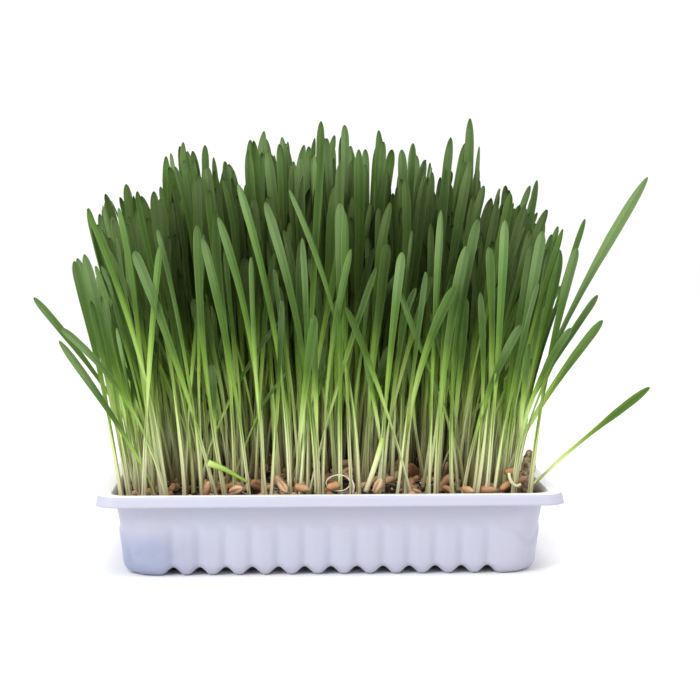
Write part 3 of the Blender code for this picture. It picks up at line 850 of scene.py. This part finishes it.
def add_spot(places, values, rng, at, size, tone):
    matrix = Matrix.Translation(at)
    matrix @= Matrix.Rotation(rng.uniform(0, math.tau), 4, (rng.uniform(-1, 1), rng.uniform(-1, 1), 1))
    matrix @= Matrix.Diagonal((size, size * rng.uniform(0.6, 1), size * rng.uniform(0.5, 0.9), 1))
    places.append((rng.randrange(SHAPES), matrix))
    values.append((tone, 0, 0))


def make_crumbs(material):
    rng = random.Random(31)
    shapes = [crumb_shape(rng) for _ in range(SHAPES)]
    half = soil_half(SOIL_EDGE_LEVEL)
    places, values = [], []
    for _ in range(CRUMBS):
        x, y = rng.uniform(-0.985, 0.985) * half[0], rng.uniform(-0.975, 0.975) * half[1]
        if abs(x) > half[0] - 10 * MM and abs(y) > half[1] - 10 * MM:
            continue
        size = rng.triangular(*CRUMB_SIZES) * MM
        add_spot(places, values, rng, (x, y, crumbly(x, y) + size * 0.35), size, rng.uniform(0, 0.96))
    for pixel in PALE_BITS:
        add_spot(places, values, rng, on_soil(pixel, 1 * MM), rng.uniform(0.5, 0.9) * MM, 1.0)
    return scattered("soil_crumbs", shapes, places, material, "tone", values)


# Grain


def grain_shape(plump, rng):
    """A swollen grain along X with its crease underneath or on top, as (points, faces, values)."""
    rings, around = 14, 18
    points, values = [], []
    for i in range(rings + 1):
        t = i / rings
        x = -math.cos(t * math.pi)
        swell = math.sqrt(max(0.0, 1 - x * x)) * (1 - 0.16 * x) * (1 + 0.06 * math.sin(5 * x))
        for j in range(around):
            angle = j / around * math.tau
            groove = math.exp(-(((angle - math.pi / 2) / 0.32) ** 2))
            radius = swell * (1 - 0.5 * groove * plump) * (1 + 0.07 * rng.uniform(-1, 1))
            points.append((x, radius * math.cos(angle), radius * math.sin(angle)))
            values.append(((x + 1) / 2, groove, 0))
    faces = [(a, d, c, b) for a, b, c, d in grid_faces(rings + 1, around, closed=True)]
    return np.array(points), faces, np.array(values)


def make_grains(material, fixed, seen):
    """The grains that the solids have, those that the photograph shows, and more of them between."""
    rng = random.Random(37)
    shapes = [grain_shape(rng.uniform(0.5, 1.0), rng) for _ in range(SHAPES)]
    half = soil_half(SOIL_EDGE_LEVEL)
    spots = [(x, y, turn, 1.0) for x, y, turn in fixed]
    spots += [(point.x, point.y, rng.uniform(-0.9, 0.9), rng.uniform(1.3, 1.45)) for point in seen]
    shown = range(len(fixed), len(spots))
    while len(spots) < LOOSE_GRAINS:
        x = rng.uniform(-0.95, 0.95) * half[0]
        deep = GRAIN_REACH * half[1]
        if rng.random() < FRONT_SHARE:
            y = abs(rng.gauss(0, 0.9)) * half[1] - deep
        else:
            y = rng.uniform(-GRAIN_REACH, GRAIN_REACH) * half[1]
        if abs(y) > deep or (abs(x) > half[0] - 9 * MM and abs(y) > half[1] - 9 * MM):
            continue
        if min(math.hypot(x - s[0], y - s[1]) for s in spots) < GRAIN_ROOM:
            continue
        spots.append((x, y, rng.uniform(0, math.tau), rng.uniform(0.9, 1.2)))
    places, values = [], []
    levels = [soil_level(x, y) + rng.uniform(0.3, 1.9) * MM for x, y, *_ in spots]
    for i in shown:
        levels[i] += SEEN_HIGHER
    perched = [(pixel, PERCH_DEPTH, 1.2) for pixel in PERCHED_GRAINS]
    perched += [(pixel, FRONT_GRAIN_DEPTH, rng.uniform(1.05, 1.2)) for pixel in FRONT_GRAINS]
    for pixel, depth, size in perched:
        point = seen_at(pixel, depth)
        spots.append((point.x, point.y, rng.uniform(-0.9, 0.9), size))
        levels.append(point.z)
    for (x, y, turn, size), level in zip(spots, levels):
        matrix = Matrix.Translation((x, y, level))
        matrix @= Matrix.Rotation(turn, 4, "Z") @ Matrix.Rotation(rng.gauss(0, 0.5), 4, "Y")
        matrix @= Matrix.Rotation(rng.uniform(0, math.tau), 4, "X")
        matrix @= Matrix.Diagonal((*(GRAIN_HALF * size), 1))
        places.append((rng.randrange(SHAPES), matrix))
        values.append((0, 0, rng.uniform(0.1, 1)))
    return scattered("wheat_grains", shapes, places, material, "grain", values), spots


# Roots and stubs


def tube(points, radii, around):
    """A tube along points with a closed end at each side, as (vertices, faces)."""
    vertices = []
    side = Vector((1, 0, 0))
    for i, point in enumerate(points):
        along = (points[min(i + 1, len(points) - 1)] - points[max(i - 1, 0)]).normalized()
        side = side - along * side.dot(along)
        side = side.normalized() if side.length > 0.1 else along.orthogonal().normalized()
        up = along.cross(side)
        for j in range(around):
            angle = j / around * math.tau
            vertices.append(point + (side * math.cos(angle) + up * math.sin(angle)) * radii[i])
    faces = grid_faces(len(points), around, closed=True)
    faces += [tuple(range(around))[::-1], tuple(range(len(vertices) - around, len(vertices)))]
    return vertices, faces


def joined_tubes(name, tubes, material):
    vertices, faces = [], []
    for points, radii, around in tubes:
        more, sides = tube(points, radii, around)
        faces += [tuple(len(vertices) + i for i in f) for f in sides]
        vertices += more
    return new_object(name, vertices, faces, material)


def root_hair(rng, x, y):
    """A thin root that wanders over the soil in a low arch."""
    turn, lift = rng.uniform(0, math.tau), rng.uniform(0.2, 2.2) * MM
    steps = rng.randrange(7, 13)
    points = []
    for i in range(steps):
        x += HAIR_STEP * math.cos(turn)
        y += HAIR_STEP * math.sin(turn)
        turn += rng.gauss(0, 0.38)
        points.append(Vector((x, y, soil_level(x, y) + 0.3 * MM + lift * math.sin(i / (steps - 1) * math.pi))))
    radius = rng.uniform(*HAIR_RADII) * MM
    return points, [radius * (1 - 0.6 * i / steps) for i in range(steps)], 5


def make_roots(material, spots):
    rng = random.Random(53)
    half = soil_half(SOIL_EDGE_LEVEL)
    tubes = []
    while len(tubes) < ROOT_HAIRS:
        x, y = rng.choice(spots)[:2]
        if abs(x) < half[0] - HAIR_INSET[0] and abs(y) < half[1] - HAIR_INSET[1]:
            tubes.append(root_hair(rng, x, y))
    loop = seen_at(LOOPED_ROOT, LOOP_DEPTH)
    around_grain = [
        loop + Vector((LOOP_HALF[0] * math.cos(a), 0.8 * MM * math.sin(a * 2), LOOP_HALF[1] * math.sin(a)))
        for a in (LOOP_TURN[0] + i / LOOP_STEPS * LOOP_TURN[1] for i in range(LOOP_STEPS + 1))
    ]
    tubes.append((around_grain, [LOOP_RADIUS] * len(around_grain), 8))
    upright = smooth_path([seen_at(pixel, UPRIGHT_DEPTH) for pixel in UPRIGHT_ROOT], 10)
    tubes.append((upright, [UPRIGHT_RADIUS] * len(upright), 8))
    return joined_tubes("root_hairs", tubes, material)


def smooth_path(points, steps):
    """A curve through a few points, by Catmull and Rom's rule."""
    path = []
    spans = len(points) - 1
    for i in range(steps + 1):
        at = i / steps * spans
        span = min(spans - 1, int(at))
        t = at - span
        a, b = points[max(0, span - 1)], points[span]
        c, d = points[span + 1], points[min(spans, span + 2)]
        path.append(
            (b * 2 + (c - a) * t + (a * 2 - b * 5 + c * 4 - d) * t * t + (b * 3 - a - c * 3 + d) * t**3) * 0.5
        )
    return path


def make_stubs(material):
    """The cut and curled shoots at the front: one fallen, one standing, and a pale hooked sprout."""
    tubes, values = [], []
    around = 10
    for pixels, depth, widths, tones in STUBS:
        path = smooth_path([seen_at(pixel, depth) for pixel in pixels], STUB_STEPS)
        shares = [i / STUB_STEPS for i in range(STUB_STEPS + 1)]
        radii = [bent(*widths, t) * MM for t in shares]
        values += [(bent(*tones, t), 0.0, 0.1) for t in shares for _ in range(around)]
        tubes.append((path, radii, around))
    made = joined_tubes("cut_stubs", tubes, material)
    set_attribute(made, "leaf", np.array(values))
    set_attribute(made, "growth_and_painted_shade", [(0, 1, 0)] * len(values))
    return made


def make_clods(material):
    """Clods of soil that stand up at the right end, with moss on them."""
    points, faces = [], []
    for pixel, depth, half in MOSSY_CLODS:
        middle = seen_at(pixel, depth)
        seed = middle * 300
        lump, sides = ball(4, lambda at: 1 + 0.3 * noise.noise(at * 1.7 + seed) + 0.16 * noise.noise(at * 5))
        faces += [[len(points) + i for i in f] for f in sides]
        points += [middle + Vector([c * h * MM for c, h in zip(p, half)]) for p in lump]
    return new_object("mossy_clods", points, faces, material)


# Shoots


def cell_edges(row):
    shift = ROW_STAGGER if row % 2 else -ROW_STAGGER
    inner = [(i - CLUMP_COLUMNS / 2) * CELL_LENGTH + shift for i in range(1, CLUMP_COLUMNS)]
    end = CLUMP_COLUMNS * CELL_LENGTH / 2
    return [-end, *inner, end]


def clump_cells():
    cells = {}
    for row in range(CLUMP_ROWS):
        edges = cell_edges(row)
        for column, (left, right) in enumerate(zip(edges, edges[1:])):
            middle = Vector(((left + right) / 2, (row - (CLUMP_ROWS - 1) / 2) * CELL_WIDTH))
            cells[column, row] = middle, Vector(((right - left) / 2, CELL_WIDTH / 2))
    return cells


def crown_level(x, y):
    return soil_level(x, y) - CROWN_SUNK


def root_spots(cell, row, rng):
    half = cell[1]
    reach = half - Vector((ROOT_MARGIN, ROOT_MARGIN))
    spots = []
    for _ in range(round(4 * half.x * half.y / (AREA_PER_SHOOT[row] * MM * MM))):
        tries = [Vector([rng.uniform(-1, 1) * side for side in reach]) for _ in range(ROOT_TRIES)]
        spots.append(max(tries, key=lambda t: min(((t - s).length for s in spots), default=1.0)))
    return spots


def shoot_length(x, y, rng):
    across = abs(x) / (CLUMP_COLUMNS * CELL_LENGTH / 2)
    depth = y / (CLUMP_ROWS * CELL_WIDTH / 2)
    at_end = max(0.0, across - 0.55) / 0.45
    share = (1 - SHORTER_AT_ENDS * at_end * at_end * (3 - 2 * at_end)) * (1 - SHORTER_IN_FRONT * (1 - depth))
    return SHOOT_LENGTH * share * rng.triangular(*LENGTH_SHARES)


def spine_draw(cell, offset, length, rng):
    """What a shoot's middle line is made from: its root, its end before fanning, and its bend."""
    middle, half = cell
    room = half - Vector((BLADE_CLEAR, BLADE_CLEAR))
    spread = offset * ROOM_SHARE + Vector((rng.gauss(0, LEAN), rng.gauss(0, LEAN)))
    base = crown_level(*(middle + offset)) - ROOT_SUNK
    return middle, offset, held(spread, room), base, length + ROOT_SUNK, rng.uniform(1.1, 1.9)


def spine_at(draw, levels):
    middle, offset, end, base, length, bend = draw
    spine = []
    for level in levels:
        at = middle + offset.lerp(end, level**bend)
        fan = 1 + FAN * (length * level / FAN_HEIGHT) ** 1.35
        spine.append(Vector((at.x * fan, at.y * fan, base + length * level)))
    return spine


def at_height(spine, height):
    for lower, upper in zip(spine, spine[1:]):
        if lower.z <= height <= upper.z:
            return lower.lerp(upper, (height - lower.z) / (upper.z - lower.z))
    return None


def clearance(spine, others):
    least = 1.0
    for other in others:
        for point in spine[1:]:
            passed = at_height(other, point.z)
            if passed:
                least = min(least, math.dist(point.xy, passed.xy))
    return least


def stray_at(root, tip, turn_out, levels):
    base = Vector((root[0] * MM, root[1] * MM, crown_level(root[0] * MM, root[1] * MM) - ROOT_SUNK))
    end = Vector(tip) * MM
    knee = Vector((base.x, base.y, base.z + (end.z - base.z) * turn_out)) + (end - base) * 0.06
    return [bent(base, knee, end, t) for t in levels]


def fine_levels():
    """Levels up a shoot, closer together in the rounded tip."""
    straight = [TIP_FROM * i / STRAIGHT_LEVELS for i in range(STRAIGHT_LEVELS)]
    tip = [TIP_FROM + (1 - TIP_FROM) * math.sin(i / TIP_LEVELS * math.pi / 2) for i in range(TIP_LEVELS + 1)]
    return straight + tip


def planned_shoots():
    """Every shoot that the solids have, as (place, spine, facing, twist, width, age), and their grains."""
    rng, outline_rng = random.Random(21), random.Random(71)
    levels = fine_levels()
    shoots, grains = [], []
    for place, cell in clump_cells().items():
        middle, half = cell
        draws, spines = [], []
        for i, offset in enumerate(root_spots(cell, place[1], rng)):
            length = shoot_length(middle.x + offset.x, middle.y + offset.y, rng)
            if i == 0:
                length = TALL_SHOOTS.get(place, length)
            tries = [spine_draw(cell, offset, length, rng) for _ in range(TRIES)]
            best = max(tries, key=lambda draw: clearance(spine_at(draw, LEVELS), spines))
            draws.append(best)
            spines.append(spine_at(best, LEVELS))
        for draw in draws:
            facing, twist = rng.uniform(-FACING, FACING), rng.uniform(-TWIST, TWIST)
            spine = under_skyline(spine_at(draw, levels), outline_rng)
            shoots.append((place, spine, facing, twist, rng.uniform(0.8, 1.05), 0.0))
        for column, row, base, tip, turn_out in STRAY_SHOOTS:
            if (column, row) == place:
                spine = stray_at(base, tip, turn_out, levels)
                width, age = STRAY_LOOKS.get(tip, (0.8, 0.0))
                shoots.append((place, spine, rng.uniform(-0.3, 0.3), 0.1, width, age))
        for _ in range(GRAINS_ON_CROWN[place[1]]):
            reach = half - Vector((GRAIN_MARGIN, GRAIN_MARGIN))
            spot = middle + Vector((rng.uniform(-1, 1) * reach.x, rng.uniform(-1, 1) * reach.y))
            grains.append((spot.x, spot.y, rng.uniform(0, math.pi)))
    return shoots, grains


def cell_of(x, y):
    row = min(CLUMP_ROWS - 1, max(0, int((y + CLUMP_ROWS * CELL_WIDTH / 2) // CELL_WIDTH)))
    edges = cell_edges(row)
    return sum(x > edge for edge in edges[1:-1]), row


def stands_before(root, spots, reach):
    """Whether a root stands in front of one of the spots, and less than reach to its side."""
    return any(abs(root.x - spot.x) < reach and root.y < spot.y for spot in spots)


def filler_shoots(seen):
    """Thinner and shorter shoots between the others, that lean more and cross them."""
    rng = random.Random(43)
    room = SWARD_HALF - Vector((BLADE_CLEAR, BLADE_CLEAR))
    shoots = []
    while len(shoots) < FILLER_SHOOTS:
        root = Vector((rng.uniform(*FILLER_ALONG), rng.triangular(*FILLER_DEEP))) * MM
        in_corner = abs(root.x) > FILLER_CORNER.x and abs(root.y) > FILLER_CORNER.y
        if in_corner or stands_before(root, seen, GRAIN_CLEAR):
            continue
        length = shoot_length(root.x, root.y, rng) * rng.triangular(*FILLER_LENGTHS)
        lean = Vector((rng.gauss(0, FILLER_LEAN.x), rng.gauss(0, FILLER_LEAN.y))) * length / SHOOT_LENGTH
        base = soil_level(*root) - FOOT_SUNK
        draw = (Vector((0, 0)), root, held(root + lean, room), base, length, rng.uniform(0.9, 1.8))
        facing, twist = rng.gauss(0, 0.8), rng.uniform(-0.9, 0.9)
        spine = under_skyline(spine_at(draw, fine_levels()), rng)
        shoots.append((cell_of(*root), spine, facing, twist, rng.uniform(0.62, 1.0), 0.0))
    return shoots


def under_skyline(spine, rng):
    """Lowers a shoot whose tip would stand above the photograph's upper outline."""
    x, y = pixel_of(spine[-1])
    allowed = float(np.interp(x, *zip(*SKYLINE))) + rng.triangular(0, SKYLINE_DEPTH, SKYLINE_DEPTH / 4)
    if y >= allowed:
        return spine
    base = spine[0].z
    lower = (allowed - y) * (spine[-1].y + CAMERA_DISTANCE) / FOCAL_PIXELS
    share = 1 - lower / (spine[-1].z - base)
    return [Vector((p.x, p.y, base + (p.z - base) * share)) for p in spine]


def crossing_shoots(seen):
    """Young thin shoots near the front that lean across the others."""
    rng = random.Random(67)
    shoots = []
    while len(shoots) < CROSSING_SHOOTS:
        root = Vector((rng.uniform(*CROSSING_ALONG), rng.uniform(*CROSSING_DEEP))) * MM
        if stands_before(root, seen, GRAIN_CLEAR):
            continue
        length = SHOOT_LENGTH * rng.uniform(*CROSSING_LENGTHS)
        lean = Vector((rng.gauss(0, CROSSING_LEAN.x), -abs(rng.gauss(0, CROSSING_LEAN.y))))
        base = soil_level(*root) - FOOT_SUNK
        draw = (Vector((0, 0)), root, held(root + lean, CROSSING_END), base, length, rng.uniform(0.9, 1.7))
        facing, twist = rng.gauss(0, 0.8), rng.uniform(-0.5, 0.5)
        look = rng.uniform(0.45, 0.78), rng.uniform(0.0, 0.22)
        shoots.append((cell_of(*root), spine_at(draw, fine_levels()), facing, twist, *look))
    return shoots


def strays_out(spine):
    """Whether a shoot's tip hangs out beside the tray."""
    return abs(spine[-1].x) > STEADY_FROM.x or abs(spine[-1].y) > STEADY_FROM.y


def make_way(shoots, front):
    """The shoots without those of the front row that a front blade or a clear view of a grain replaces."""
    feet = [blade[1][0] for blade in front if blade[1][0].y < FRONT_ROW_TO]
    views = [on_soil(pixel, GRAIN_LIFT) for pixel in OPEN_VIEWS]
    kept = []
    for shoot in shoots:
        root = shoot[1][0]
        replaced = root.y <= FRONT_ROW_TO and min(abs(root.x - foot.x) for foot in feet) <= FRONT_ROOM
        if strays_out(shoot[1]) or not (replaced or stands_before(root, views, OPEN_VIEW_HALF)):
            kept.append(shoot)
    return kept


def front_shoots():
    """The blades that the photograph shows at the front, along the lines that it shows."""
    rng = random.Random(61)
    shoots = []
    seen = [(*blade, FRONT_ROOT_DEPTH + rng.uniform(0, 4) * MM, FRONT_TIP_DEPTH) for blade in FRONT_SHOOTS]
    seen += [(*blade, SHOULDER_DEPTH, SHOULDER_DEPTH * 1.2) for blade in SHOULDER_SHOOTS]
    for tip, waist, root, width, depth, tip_depth in seen:
        foot = seen_at(root, depth)
        foot.z = soil_level(foot.x, foot.y) - FOOT_SUNK
        middle, end = seen_at(waist, (depth + tip_depth) / 2), seen_at(tip, tip_depth)
        share = (middle - foot).length / ((middle - foot).length + (end - middle).length)
        knee = (middle - foot * (1 - share) ** 2 - end * share**2) / (2 * share * (1 - share))
        spine = [bent(foot, knee, end, t) for t in fine_levels()]
        turns = rng.uniform(-1.0, 1.0), rng.uniform(-0.8, 0.8)
        shoots.append((cell_of(foot.x, foot.y), spine, *turns, width * FRONT_WIDTH, rng.uniform(0, 0.1)))
    return shoots


def leaf_width(level, opens, tip_from):
    """A leaf's width: narrow for long, widest near its top, with a rounded tip."""
    opened = min(1.0, max(0.0, (level - OPENS_FROM) / (OPEN_AT - OPENS_FROM))) ** opens
    tip = max(0.0, (level - tip_from) / (1 - tip_from))
    return (2 * STEM_RADIUS + (FINE_WIDTH - 2 * STEM_RADIUS) * opened) * max(0.0, 1 - tip**2.3) ** 0.54


def painted_daylight(point):
    """How much painted light the leaves get at a place: painted shade far inside the sward, darkest between the
    stems' feet.
    """
    fan = 1 + FAN * (max(0.0, point.z - SOIL_EDGE_LEVEL) / FAN_HEIGHT) ** 1.35
    inside_x = CLUMP_COLUMNS * CELL_LENGTH / 2 * fan - abs(point.x)
    inside_y = CLUMP_ROWS * CELL_WIDTH / 2 * fan - abs(point.y)
    inside = max(0.0, min(inside_x, inside_y, SWARD_TOP - point.z) - OPEN_DEPTH)
    among_stems, among_leaves, off_soil = (smooth_step((point.z - start) / reach) for start, reach in LIGHT_STEPS)
    reach = LIGHT_REACH + STEM_LIGHT_REACH * among_stems * (1 - among_leaves)
    darkest = DARKEST_FOOT + (DARKEST - DARKEST_FOOT) * off_soil
    return darkest + (1 - darkest) * math.exp(-inside / reach)


def leaf_colour_level(level, length):
    """How far up the colours are: by height low down, and by the leaf's own length at its tip."""
    by_height = min(0.8, level * length / SHOOT_LENGTH)
    return by_height + (level - by_height) * smooth_step((level - 0.45) / 0.5)


def fine_blade(spine, facing, twist, scale, age, rng, steady=False):
    """One shoot: a rolled sheath that opens into a keeled leaf with a rounded tip.

    Its age goes from 1, young and yellow-green, by 0, full grown, to -1, covered with grey bloom.
    """
    levels = fine_levels()
    points, values, growth_and_painted_shade = [], [], []
    tone = min(1.0, max(0.0, rng.gauss(0.52, 0.4)))
    dry_from = rng.uniform(0.97, 0.99) if rng.random() < 0.008 else 2.0
    youth, bloom = max(0.0, age), max(0.22 * rng.random() ** 1.6, -age)
    grown = rng.uniform(*GROWN)
    late = min(1.0, max(0.0, (abs(spine[-1].x) - LATE_FROM) / LATE_REACH))
    opens, tip_from = OPENS + (OPENS_LATE - OPENS) * late, rng.uniform(*TIP_STARTS)
    wave, phase = rng.uniform(0.0, 0.35) * MM, rng.uniform(0, math.tau)
    hook = rng.gauss(0, HOOK) if rng.random() < HOOKED and not steady else 0.0
    sway = Vector((rng.gauss(0, SWAY), rng.gauss(0, SWAY), 0)) * (not steady)
    stout = rng.uniform(0.85, 1.3)
    cup = KEEL * rng.uniform(0.5, 1.4)
    length = (spine[-1] - spine[0]).length
    for i, level in enumerate(levels):
        ahead, behind = spine[min(i + 1, len(spine) - 1)], spine[max(i - 1, 0)]
        along = (ahead - behind).normalized()
        angle = (facing + twist * level) * FACES_OUT
        side = Vector((math.cos(angle), math.sin(angle), 0))
        side = (side - along * side.dot(along)).normalized()
        keel = along.cross(side)
        width = leaf_width(level, opens, tip_from) * scale
        rolled = 1 - smooth_step((level - 0.16) / 0.34)
        radius = STEM_RADIUS * stout * (0.4 + 0.6 * scale) * (1 + 0.4 * math.exp(-level * 22))
        ripple = wave * math.sin(level * 14 + phase) * (1 - rolled)
        middle = spine[i] + side * hook * max(0.0, (level - HOOK_FROM) / (1 - HOOK_FROM)) ** 2
        middle += sway * math.sin(math.pi * min(1.0, level / 0.75))
        bowl = cup * (width / FINE_WIDTH) ** 0.5
        colour_level = min(1.0, leaf_colour_level(level, length) * grown) * (1 - 0.6 * youth)
        dry, grey = smooth_step((level - dry_from) / 0.02), bloom * smooth_step((level - 0.4) / 0.5)
        # Dry tips, painted shade by the place in the sward, and grey bloom
        looks = dry, painted_daylight(spine[i]), grey
        for j in range(FINE_ACROSS):
            s = 2 * j / (FINE_ACROSS - 1) - 1
            turn = math.pi / 2 + s * math.pi * 0.97
            x = -radius * math.cos(turn) * rolled + s * width / 2 * (1 - rolled)
            y = radius * (math.sin(turn) + 0.8) * rolled
            y += (bowl * (1 - abs(s) ** 1.2) + ripple * s) * (1 - rolled)
            points.append(middle + side * x + keel * y)
            values.append((colour_level, s, tone * (1 - youth)))
            growth_and_painted_shade.append(looks)
    return points, values, growth_and_painted_shade


def make_clumps(shoots, material):
    rng = random.Random(47)
    clumps = {}
    for place, *shoot in shoots:
        clumps.setdefault(place, []).append(fine_blade(*shoot, rng, steady=strays_out(shoot[0])))
    strip = np.array(grid_faces(len(fine_levels()), FINE_ACROSS))
    for (column, row), blades in sorted(clumps.items()):
        points, values, growth_and_painted_shade = (np.array([tuple(p) for blade in blades for p in blade[k]]) for k in range(3))
        faces = np.concatenate([strip + len(blades[0][0]) * i for i in range(len(blades))])
        node = f"shoots_row{row + 1}_column{column + 1}"
        made = new_object("fine_" + node, points, faces, material)
        set_attribute(made, "leaf", values)
        set_attribute(made, "growth_and_painted_shade", growth_and_painted_shade)
        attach(made, "root")
        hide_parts(node)


# Camera, floor and light


def camera_axes():
    """The photograph's camera: its place, and the ways right, up and ahead from it."""
    right = Vector((math.cos(CAMERA_YAW), -math.sin(CAMERA_YAW), 0))
    ahead = Vector((math.sin(CAMERA_YAW), math.cos(CAMERA_YAW), 0))
    look = ahead * math.cos(CAMERA_PITCH) - Vector((0, 0, math.sin(CAMERA_PITCH)))
    aside = (IMAGE / 2 - MIDDLE_X_PIXEL) / FOCAL_PIXELS * CAMERA_DISTANCE
    place = right * aside - ahead * CAMERA_DISTANCE + Vector((0, 0, CAMERA_HEIGHT))
    return place, right, right.cross(look), look


def seen_at(pixel, depth):
    """The point of the upright plane y = depth that the photograph shows at a pixel."""
    place, right, up, look = camera_axes()
    ray = look * FOCAL_PIXELS + right * (pixel[0] - IMAGE / 2) + up * (IMAGE / 2 - pixel[1])
    return place + ray * ((depth - place.y) / ray.y)


def pixel_of(point):
    """Where the photograph shows a point."""
    place, right, up, look = camera_axes()
    ahead = (point - place).dot(look)
    across, high = (point - place).dot(right) / ahead, (point - place).dot(up) / ahead
    return IMAGE / 2 + across * FOCAL_PIXELS, IMAGE / 2 - high * FOCAL_PIXELS


def on_soil(pixel, lift):
    """The point a little above the soil that the photograph shows at a pixel."""
    depth, back, step = -64 * MM, 60 * MM, 0.5 * MM
    point = seen_at(pixel, depth)
    while point.z > soil_level(point.x, point.y) + lift and depth < back:
        depth += step
        point = seen_at(pixel, depth)
    return point


def add_camera():
    data = bpy.data.cameras.new("camera")
    data.sensor_width = 36
    data.lens = FOCAL_PIXELS * data.sensor_width / IMAGE
    camera = bpy.data.objects.new("camera", data)
    bpy.context.scene.collection.objects.link(camera)
    bpy.context.scene.camera = camera
    place, right, up, look = camera_axes()
    matrix = Matrix((right, up, -look)).transposed().to_4x4()
    matrix.translation = place
    camera.matrix_world = matrix


def add_light(name, place, size, power):
    data = bpy.data.lights.new(name, "AREA")
    data.energy = power
    data.size = size
    light = bpy.data.objects.new(name, data)
    light.location = place
    light.rotation_euler = (Vector(place) - LIT_POINT).to_track_quat("Z", "Y").to_euler()
    bpy.context.scene.collection.objects.link(light)


def add_floor():
    m = Nodes("pale floor", 0.8)
    m.colour(m.ramp(m.noise(3.0, 2.0), FLOOR_WHITE))
    corners = [(x * FLOOR_HALF, y * FLOOR_HALF, 0) for x, y in ((-1, -1), (1, -1), (1, 1), (-1, 1))]
    floor = new_object("floor", corners, [(0, 1, 2, 3)], m.material)


def add_world():
    world = bpy.data.worlds.new("studio")
    world.use_nodes = True
    world.node_tree.nodes["Background"].inputs[0].default_value = (1, 1, 1, 1)
    world.node_tree.nodes["Background"].inputs[1].default_value = WORLD_STRENGTH
    bpy.context.scene.world = world
    bpy.context.scene.view_settings.view_transform = "Standard"


def main():
    add_camera()
    add_world()
    for light in LIGHTS:
        add_light(*light)
    add_floor()
    tray = make_tray(plastic_material("white plastic", False), plastic_material("white plastic with dust and painted shade", True))
    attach(tray, "root")
    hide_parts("tray")
    soil = make_soil(soil_material())
    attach(soil, "root")
    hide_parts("soil")
    crumbs = make_crumbs(crumb_material())
    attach(crumbs, "root")
    shoots, fixed = planned_shoots()
    seen = [on_soil(pixel, GRAIN_LIFT) for pixel in GRAINS_SEEN]
    leaf = leaf_material()
    front = front_shoots()
    make_clumps(make_way(shoots, front) + filler_shoots(seen) + crossing_shoots(seen) + front, leaf)
    grains, spots = make_grains(grain_material(), fixed, seen)
    on_the_soil = [grains, make_roots(root_material(), spots), make_clods(moss_material())]
    for piece in on_the_soil:
        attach(piece, "root")
    stubs = make_stubs(leaf)
    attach(stubs, "root")


main()
